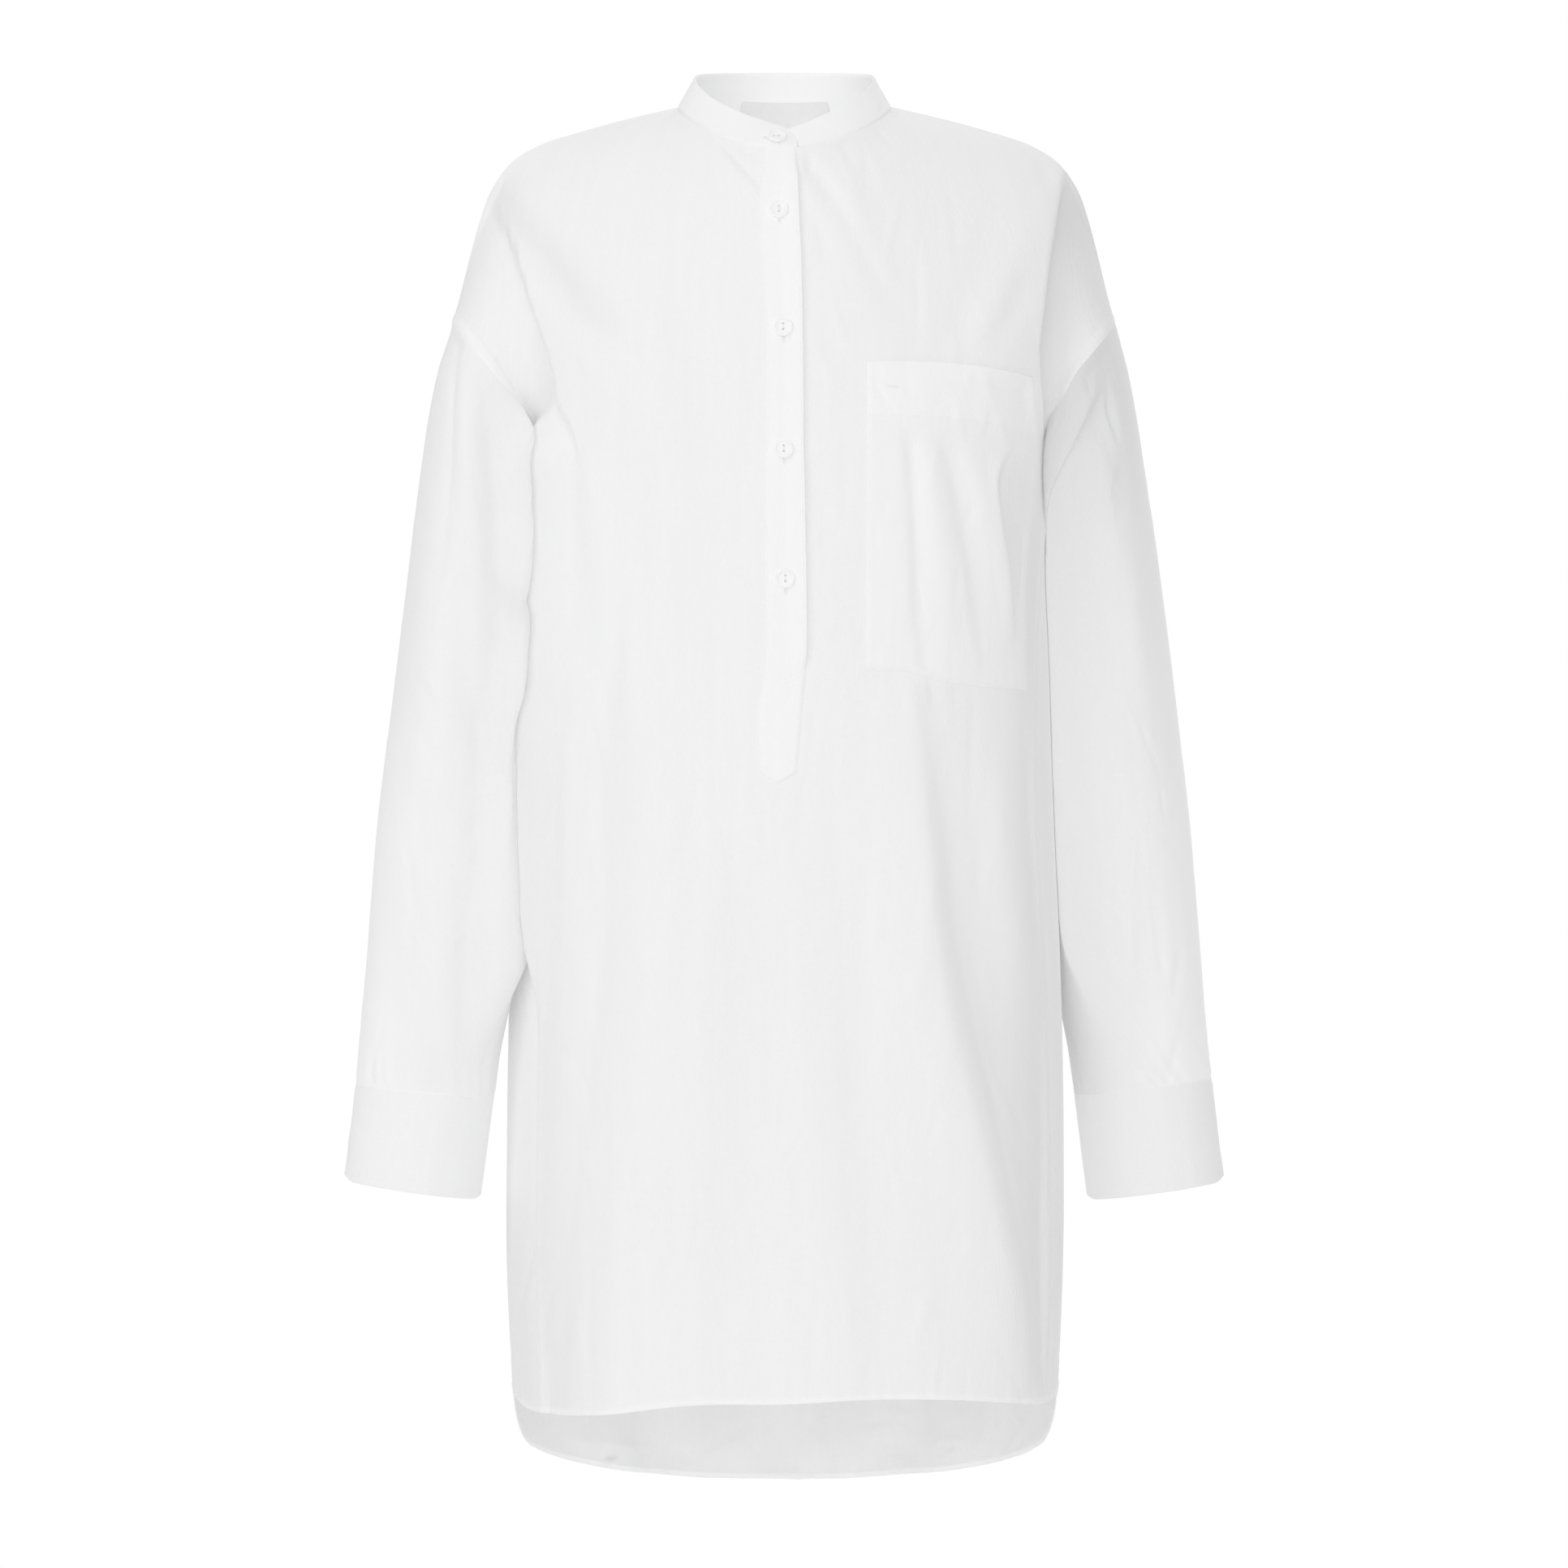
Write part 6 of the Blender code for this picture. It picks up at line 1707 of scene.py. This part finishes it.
# %% Pocket's outline
POCKET_EDGES = [
    # share of the height, inner x, inner z, outer x, outer z
    (0.0, 0.0545, -0.1815, 0.1654, -0.1879),
    (0.25, 0.0543, -0.2321, 0.1700, -0.2392),
    (0.4, 0.0541, -0.2624, 0.1671, -0.2700),
    (0.55, 0.0539, -0.2928, 0.1622, -0.3015),
    (1.0, 0.0537, -0.3838, 0.1607, -0.3955),
]
POCKET_BOW = 0.0027                 # how far the middle of the mouth is higher
POCKET_FOOT = [(0.0, 0.0), (0.29, 0.0019), (0.42, -0.0009), (0.70, -0.0015), (1.0, 0.0)]
POCKET_FINE_COLUMNS, POCKET_FINE_ROWS = 70, 124

across = np.linspace(0, 1, POCKET_FINE_COLUMNS)[None, :]
down = np.linspace(0, 1, POCKET_FINE_ROWS)[:, None]


def pocket_places():
    knots, *edges = columns(POCKET_EDGES)
    inner_x, inner_z, outer_x, outer_z = (smooth(down, knots, edge) for edge in edges)
    share, foot = columns(POCKET_FOOT)
    level = (inner_z + (outer_z - inner_z) * across
             + POCKET_BOW * np.sin(math.pi * across) * (1 - down)
             + smooth(across, share, foot) * ramp(down, 0.6, 1))
    return np.stack([inner_x + (outer_x - inner_x) * across, level], -1)


places = pocket_places()
print("pocket:", places.shape)

# %% Pocket
POCKET_BULGE = 0.0016
POCKET_BAND_SHARE = 0.176           # the mouth's hem, as a share of the height
POCKET_SIZE = (0.11, 0.2)


def pocket_lifts(folds, on_band):
    """How high each point of the pocket stands above the front."""
    inside = ramp(across, 0, 0.05) * fade(across, 0.95, 1) * fade(down, 0.96, 1)
    lifts = STRIP + LAYER_GAP * 0.5 + POCKET_BULGE * np.sin(math.pi * across) * fade(down, 0.5, 1)
    lifts = lifts + folds * inside + 0.0003 * on_band
    run_x, run_z = places[..., 0], -places[..., 1]
    to_side, to_foot = np.minimum(across, 1 - across) * POCKET_SIZE[0], (1 - down) * POCKET_SIZE[1]
    to_band = np.abs(down - POCKET_BAND_SHARE) * POCKET_SIZE[1]
    lifts = lifts + puckers(run_z, np.abs(to_side - STITCH_IN), 0.00020, 111, reach=0.006)
    lifts = lifts + puckers(run_x, to_foot, 0.00022, 112, reach=0.007)
    lifts = lifts + puckers(run_x, to_band, 0.00018, 113, reach=0.006)
    lifts = lifts + dints(places * 1000, np.random.default_rng(114), 90, (54, -395),
                          (165, -185), 0.20, length=(6, 22), width=(1.5, 4)) / 1000 * inside
    return lifts - (lifts - PRESSED_EDGE) * fade(np.minimum(to_side, to_foot), 0, 0.0020)


flat_grid, _ = chest.lay(places, np.zeros(places.shape[:2]))
seen = seen_from_front(flat_grid)
folds = (fold_heights(seen, POCKET_FOLDS) / 1000
         * ramp(down, POCKET_BAND_SHARE, POCKET_BAND_SHARE + 0.05))
on_band = fade(down, POCKET_BAND_SHARE - 0.006, POCKET_BAND_SHARE + 0.006)
lifts = pocket_lifts(folds, on_band)
pocket_grid, normals = chest.lay(places, lifts)
# Painted shade in the pocket's fold hollows and at the places of painted shade; its hemmed mouth is
# paler as a second layer.
backing = 0.5 + 0.5 * on_band - 0.6 * hollow_shade(folds) - fold_heights(seen, PAINTED_SHADES) * (1 - on_band)
pocket = add_wall("pocket_cloth", "pocket", pocket_grid, np.minimum(STRIP * 0.7, lifts * 0.6),
                  normals, backing, poplin)

# %% [markdown]
# The label is a woven tape sewn inside the back of the collar band, drawn as a flat
# strip without its folded-under ends. It is plain.

# %% Neck label
LABEL = 0.0010
LABEL_HALF, LABEL_TOP_Z, LABEL_HEIGHT = 0.0305, 0.0112, 0.022
LABEL_ROWS, LABEL_COLUMNS = 17, 41


def label_grid():
    edge = math.degrees(math.asin(LABEL_HALF / NECK_HALF))
    low, high = collar_lines(np.linspace(180 - edge, 180 + edge, LABEL_COLUMNS))
    rows = []
    for z in np.linspace(LABEL_TOP_Z, LABEL_TOP_Z - LABEL_HEIGHT, LABEL_ROWS):
        share = np.clip((z - low[:, 2]) / (high[:, 2] - low[:, 2]), 0, 1)[:, None]
        line = low + (high - low) * share
        line[:, 1] -= BAND + LAYER_GAP + LABEL
        line[:, 2] = z
        rows.append(line)
    return np.array(rows)


tape_grid = label_grid()
label = add_wall("neck_label_tape", "neck_label", tape_grid, LABEL * 0.7,
                 material=label_tape)

# %% [markdown]
# ## Buttons
# A two-hole shirt button is turned: a flat back, a round edge and a raised rim about a
# shallow dish. Its outline is spun, two holes are cut through it, and its edges are
# softened. Each one stands where its solid stands, found from the solid's own points.

# %% Button shape
BUTTON_RADIUS, BUTTON_HEIGHT = 0.00635, 0.0024
HOLE_RADIUS, HOLE_SPACING = 0.00095, 0.0036
BUTTON_PROFILE = [
    # share of the radius, share of the height
    (0.0, 0.0), (0.80, 0.0), (0.93, 0.10), (1.0, 0.36), (1.0, 0.64), (0.975, 0.86),
    (0.925, 0.98), (0.86, 1.0), (0.80, 0.94), (0.75, 0.80), (0.70, 0.73), (0.0, 0.70),
]
BUTTON_SIDES = 56


def mesh_of(bm, name):
    """Puts a bmesh into a mesh."""
    mesh = bpy.data.meshes.new(name)
    bm.to_mesh(mesh)
    bm.free()
    return mesh


def button_blank():
    bm = bmesh.new()
    line = [bm.verts.new((radius * BUTTON_RADIUS, 0, height * BUTTON_HEIGHT))
            for radius, height in BUTTON_PROFILE]
    edges = [bm.edges.new(pair) for pair in zip(line[:-1], line[1:])]
    bmesh.ops.spin(bm, geom=line + edges, cent=(0, 0, 0), axis=(0, 0, 1),
                   angle=2 * math.pi, steps=BUTTON_SIDES, use_duplicate=False)
    bmesh.ops.remove_doubles(bm, verts=bm.verts, dist=1e-7)
    bmesh.ops.recalc_face_normals(bm, faces=bm.faces)
    return place_object("button blank", mesh_of(bm, "button blank"))


def hole_drill(side):
    bm = bmesh.new()
    bmesh.ops.create_cone(bm, cap_ends=True, segments=20, radius1=HOLE_RADIUS,
                          radius2=HOLE_RADIUS, depth=4 * BUTTON_HEIGHT)
    bmesh.ops.translate(bm, verts=bm.verts, vec=(0, side * HOLE_SPACING / 2, 0))
    return place_object("drill", mesh_of(bm, "drill"))


def button_mesh():
    """A button face up, its back on z = 0 and its holes in line with Y."""
    blank = button_blank()
    drills = [hole_drill(side) for side in (-1, 1)]
    for drill in drills:
        blank.modifiers.new("hole", "BOOLEAN").object = drill
    bpy.context.view_layer.update()
    drilled = bpy.data.meshes.new_from_object(
        blank.evaluated_get(bpy.context.evaluated_depsgraph_get()))
    for helper in drills + [blank]:
        bpy.data.objects.remove(helper)
    drilled.shade_smooth()
    drilled.set_sharp_from_angle(angle=math.radians(40))
    return drilled


turned_button = button_mesh()
print("button faces:", len(turned_button.polygons))

# %% Buttons and their threads
STRAND_OFFSETS, STRAND_RADIUS = (-0.00035, 0.0, 0.00035), 0.00019
STRAND_RINGS, STRAND_SIDES = 9, 6
HOLES_ALONG = dict.fromkeys(["button_collar"], (1, 0, 0)) | dict.fromkeys(
    ["button_1", "button_2", "button_3", "button_4", "button_cuff_right",
     "button_cuff_left"], (0, 0, 1))


def button_place(solid, holes):
    """Where a button's solid stands: its turn and the middle of its back."""
    mesh = bpy.data.objects[solid].data
    points = np.zeros(len(mesh.vertices) * 3)
    mesh.vertices.foreach_get("co", points)
    points = points.reshape(-1, 3)
    middle = (points.min(0) + points.max(0)) / 2
    _, _, ways = np.linalg.svd(points - points.mean(0))
    normal = ways[2] * np.sign(ways[2] @ (middle - np.array([middle[0] * 0.9, 0.0, middle[2]])))
    reach = (points - middle) @ normal
    normal, middle = Vector(normal), Vector(middle - normal * (-reach.min()))
    side = Vector(holes).cross(normal).normalized()
    turn = Matrix((side, normal.cross(side), normal)).transposed().to_4x4()
    return Matrix.Translation(middle) @ turn


def button_thread(place, name):
    """Threads that cross between the holes and go down through them."""
    points, faces = [], []
    for offset in STRAND_OFFSETS:
        base = len(points)
        for t in (-1 + 2 * k / (STRAND_RINGS - 1) for k in range(STRAND_RINGS)):
            y = t * HOLE_SPACING / 2 * 0.98
            z = BUTTON_HEIGHT * (0.74 + 0.10 * (1 - t ** 6)) - 0.0012 * max(0, abs(t) - 0.8) / 0.2
            for turn in np.arange(STRAND_SIDES) * math.pi / 3:
                points.append(place @ Vector((offset + STRAND_RADIUS * math.cos(turn), y,
                                              z + STRAND_RADIUS * math.sin(turn))))
        for ring in range(base, len(points) - STRAND_SIDES, STRAND_SIDES):
            for side in range(STRAND_SIDES):
                a, b = ring + side, ring + (side + 1) % STRAND_SIDES
                faces.append((a, a + STRAND_SIDES, b + STRAND_SIDES, b))
    return build_mesh(name, [tuple(p) for p in points], faces)


button_places = {}
for solid, holes in HOLES_ALONG.items():
    place = button_places[solid] = button_place(solid, holes)
    mesh = turned_button.copy()
    mesh.transform(place)
    add_object(solid + "_turned", mesh, button_resin, solid)
    name = solid + "_thread"
    add_object(name, button_thread(place, name), thread)
print("buttons:", len(button_places))

# %% [markdown]
# ## Sewing
# Every stitch is its own short thread: a little boat that lies on the cloth and dips into
# it at both ends. A row of them follows a line on a piece's surface, about nine to the
# inch as on a good shirt. A buttonhole is a bar of close zigzag round a slit.

# %% Stitches
STITCH_PITCH, STITCH_LENGTH, THREAD_RADIUS = 0.0026, 0.0020, 0.00015
STITCH_RINGS = [
    # place along the stitch, share of the radius, height in radii
    (-0.5, 0.45, -1.2), (-0.34, 1.0, 0.1), (0.34, 1.0, 0.1), (0.5, 0.45, -1.2)]
HALF_ROUND = ((1, 0), (0.35, 0.9), (-0.35, 0.9), (-1, 0))
BUTTONHOLE_PITCH, BAR_PITCH = 0.00042, 0.0003


def grid_line(grid, rows, cols):
    """Points at fractional rows and columns of a grid, and the normals there."""
    rows, cols = np.broadcast_arrays(np.asarray(rows, float), np.asarray(cols, float))
    rows = np.clip(rows, 0, grid.shape[0] - 1.001)
    cols = np.clip(cols, 0, grid.shape[1] - 1.001)
    normals = grid_normals(grid)
    r, c = rows.astype(int), cols.astype(int)
    a, b = (rows - r)[:, None], (cols - c)[:, None]

    def read(values):
        return ((values[r, c] * (1 - b) + values[r, c + 1] * b) * (1 - a)
                + (values[r + 1, c] * (1 - b) + values[r + 1, c + 1] * b) * a)
    return read(grid), unit(read(normals))


def column_at(grid, distance, from_end, rows):
    """The fractional column that lies a distance from a side edge, in some rows."""
    across, count = lengths_along(grid, 1), np.arange(grid.shape[1])
    if from_end:
        across, count = (across[:, -1:] - across)[:, ::-1], count[::-1]
    return np.array([np.interp(distance, across[row], count) for row in rows])


class Seamstress:
    """Collects the stitches of one piece."""

    def __init__(self, seed):
        self.points, self.faces = [], []
        self.rng = np.random.default_rng(seed)

    def boat(self, middle, way, normal, length, radius):
        """Adds one stitch."""
        side = np.cross(way, normal)
        base = len(self.points)
        for place, size, height in STITCH_RINGS:
            spot = middle + way * place * length + normal * height * radius
            self.points += [spot + (side * a + normal * b) * radius * size
                            for a, b in HALF_ROUND]
        self.faces += [(a, a + 1, a + 5, a + 4)
                       for ring in range(3) for a in range(base + 4 * ring, base + 4 * ring + 3)]

    def row(self, line, normals, pitch=STITCH_PITCH, length=STITCH_LENGTH):
        place = np.r_[0, np.cumsum(np.linalg.norm(np.diff(line, axis=0), axis=1))]

        def read(values, at):
            return np.array([np.interp(at, place, values[:, k]) for k in range(3)])

        for start in np.arange(pitch / 2, place[-1] - pitch / 2, pitch):
            at = start + self.rng.normal(0, 0.04) * pitch
            spot, ahead = read(line, at), read(line, at + 0.0004)
            way = unit(ahead - spot + self.rng.normal(0, 0.000012, 3))
            self.boat(spot, way, unit(read(normals, at)), length, THREAD_RADIUS)

    def down(self, grid, distance, from_end=False, rows=None):
        """A row down a grid, a distance in from its first or last column."""
        rows = np.arange(len(grid)) if rows is None else rows
        self.row(*grid_line(grid, rows, column_at(grid, distance, from_end, rows)))

    def across(self, grid, distance, from_end=False, cols=None):
        """A row across a grid, a distance from its first or last row."""
        cols = np.arange(grid.shape[1]) if cols is None else cols
        rows = column_at(grid.transpose(1, 0, 2), distance, from_end, cols)
        self.row(*grid_line(grid, rows, cols))

    def buttonhole(self, middle, way, normal, length, width):
        """Two close rows of threads along a slit, and a bar at each end."""
        side = unit(np.cross(normal, way))
        for place in np.arange(-length / 2, length / 2, BUTTONHOLE_PITCH):
            for edge in (-1, 1):
                spot = middle + way * place + side * edge * width * 0.28
                self.boat(spot, side, normal, width * 0.46, 0.00016)
        for end in (-1, 1):
            for k in range(3):
                spot = middle + way * (end * (length / 2 + k * BAR_PITCH))
                self.boat(spot, side, normal, width, 0.00018)

    def finish(self, name):
        add_object(name, build_mesh(name, np.array(self.points), self.faces), thread)


print("stitch: pitch", STITCH_PITCH, "length", STITCH_LENGTH)

# %% Stitches on the panels
def sew_panel(grid, name, seed):
    sew = Seamstress(seed)
    rows, cols = np.arange(grid.shape[0]), np.arange(grid.shape[1])
    upper, lower = rows[:FINE_CHEST_ROW - 2], rows[FINE_CHEST_ROW + 2:-1]
    for from_end in (False, True):
        sew.down(grid, DROP_SEAM_STRIP - 0.0006, from_end, upper)
        sew.down(grid, 0.0045, from_end, lower)
    sew.across(grid, HEM_DEPTH - 0.0005, True)
    if name.startswith("back"):
        shoulder = np.flatnonzero(PANEL_COLUMNS <= SHOULDER_COLUMNS)
        for line in (shoulder, np.sort(cols[-1] - shoulder)):
            sew.across(grid, 0.0070, False, line)
    sew.finish(name)


sew_panel(front_grid, "front_stitches", 201)
sew_panel(back_grid, "back_stitches", 202)

# %% Stitches on the cuffs and the collar
CUFF_SEAM_IN, CUFF_EDGE_IN = 0.0022, 0.0045
COLLAR_TOP_IN, COLLAR_SEAM_IN = 0.0020, 0.0030


def sew_cuff(side, word):
    grid = cuff_grids[side]
    sew = Seamstress(210 + side)
    sew.across(grid, CUFF_SEAM_IN)
    sew.across(grid, CUFF_EDGE_IN, True)
    sew.down(grid, CUFF_SEAM_IN, True, np.arange(1, len(grid) - 1))
    sew.finish(f"cuff_{word}_stitches")


def sew_collar():
    sew = Seamstress(220)
    sew.across(collar_grid, COLLAR_TOP_IN)
    sew.across(collar_grid, COLLAR_SEAM_IN, True)
    place = button_places["button_collar"]
    middle, normal = np.array(place.translation), np.array(place.col[2].to_3d())
    sew.buttonhole(middle + np.array([-0.0068, 0, 0.0006]) - normal * 0.0003,
                   np.array([1.0, 0, 0]), normal, 0.003, 0.0024)
    sew.finish("collar_stitches")


for side, word in WORDS.items():
    sew_cuff(side, word)
sew_collar()

# %% Stitches on the placket, pocket and label
def sew_placket():
    sew = Seamstress(230)
    grid = placket_grid
    rows, cols = np.arange(grid.shape[0]), np.arange(grid.shape[1])
    for from_end in (False, True):
        sew.down(grid, STITCH_IN, from_end, rows[2:-2])
    box = float(np.interp(-BOX_STITCH_Z, -grid[:, 8, 2], rows))
    for row in (grid.shape[0] - 1.6, box, box + 2.4):
        sew.row(*grid_line(grid, row, np.linspace(1, cols[-1] - 1, 30)))
    strip = Surface(grid)
    for number in (1, 2, 3, 4):
        middle = button_places[f"button_{number}"].translation
        spot, normal = strip.at(middle[0] + 0.0002, middle[2] - 0.0084)
        sew.buttonhole(spot + normal * 0.0001, np.array([0, 0, 1.0]), normal, 0.0034, 0.0022)
    sew.finish("placket_stitches")


def sew_pocket():
    sew = Seamstress(240)
    grid = pocket_grid
    rows, cols = np.arange(grid.shape[0]), np.arange(grid.shape[1])
    for from_end in (False, True):
        sew.down(grid, STITCH_IN, from_end, rows[1:-1])
    sew.across(grid, STITCH_IN, True, cols[1:-1])
    sew.row(*grid_line(grid, POCKET_BAND_SHARE * rows[-1], cols))
    middle, normal = Surface(grid).at(0.0686, -0.1974)
    sew.buttonhole(middle + normal * 0.0001, unit(np.array([1.0, 0, -0.08])), normal,
                   0.0100, 0.0016)
    sew.finish("pocket_stitches")


def sew_label():
    sew = Seamstress(250)
    for column in (1.2, tape_grid.shape[1] - 2.2):
        line = grid_line(tape_grid, np.arange(len(tape_grid)), column)
        sew.row(*line, pitch=0.0022, length=0.0017)
    sew.finish("label_stitches")


sew_placket()
sew_pocket()
sew_label()

# %% [markdown]
# ## Floor
# A pale floor lies well below the hem, outside the front view.

# %% Floor
FLOOR_Z, FLOOR_RADIUS = -1.45, 2.8


def make_floor():
    bm = bmesh.new()
    bmesh.ops.create_circle(bm, cap_ends=True, radius=FLOOR_RADIUS, segments=96)
    bmesh.ops.translate(bm, verts=bm.verts, vec=(0, 0, FLOOR_Z))
    floor = place_object("studio_floor", mesh_of(bm, "studio_floor"))
    material, tree = new_material("pale studio floor")
    cloudy = noise(node(tree, "TexCoord", out="Object"), 3.0, detail=4.0)
    shade(material, {"Base Color": mixed(cloudy, (0.90, 0.90, 0.90), (0.95, 0.95, 0.95)),
                     "Roughness": 0.9})
    floor.data.materials.append(material)


make_floor()
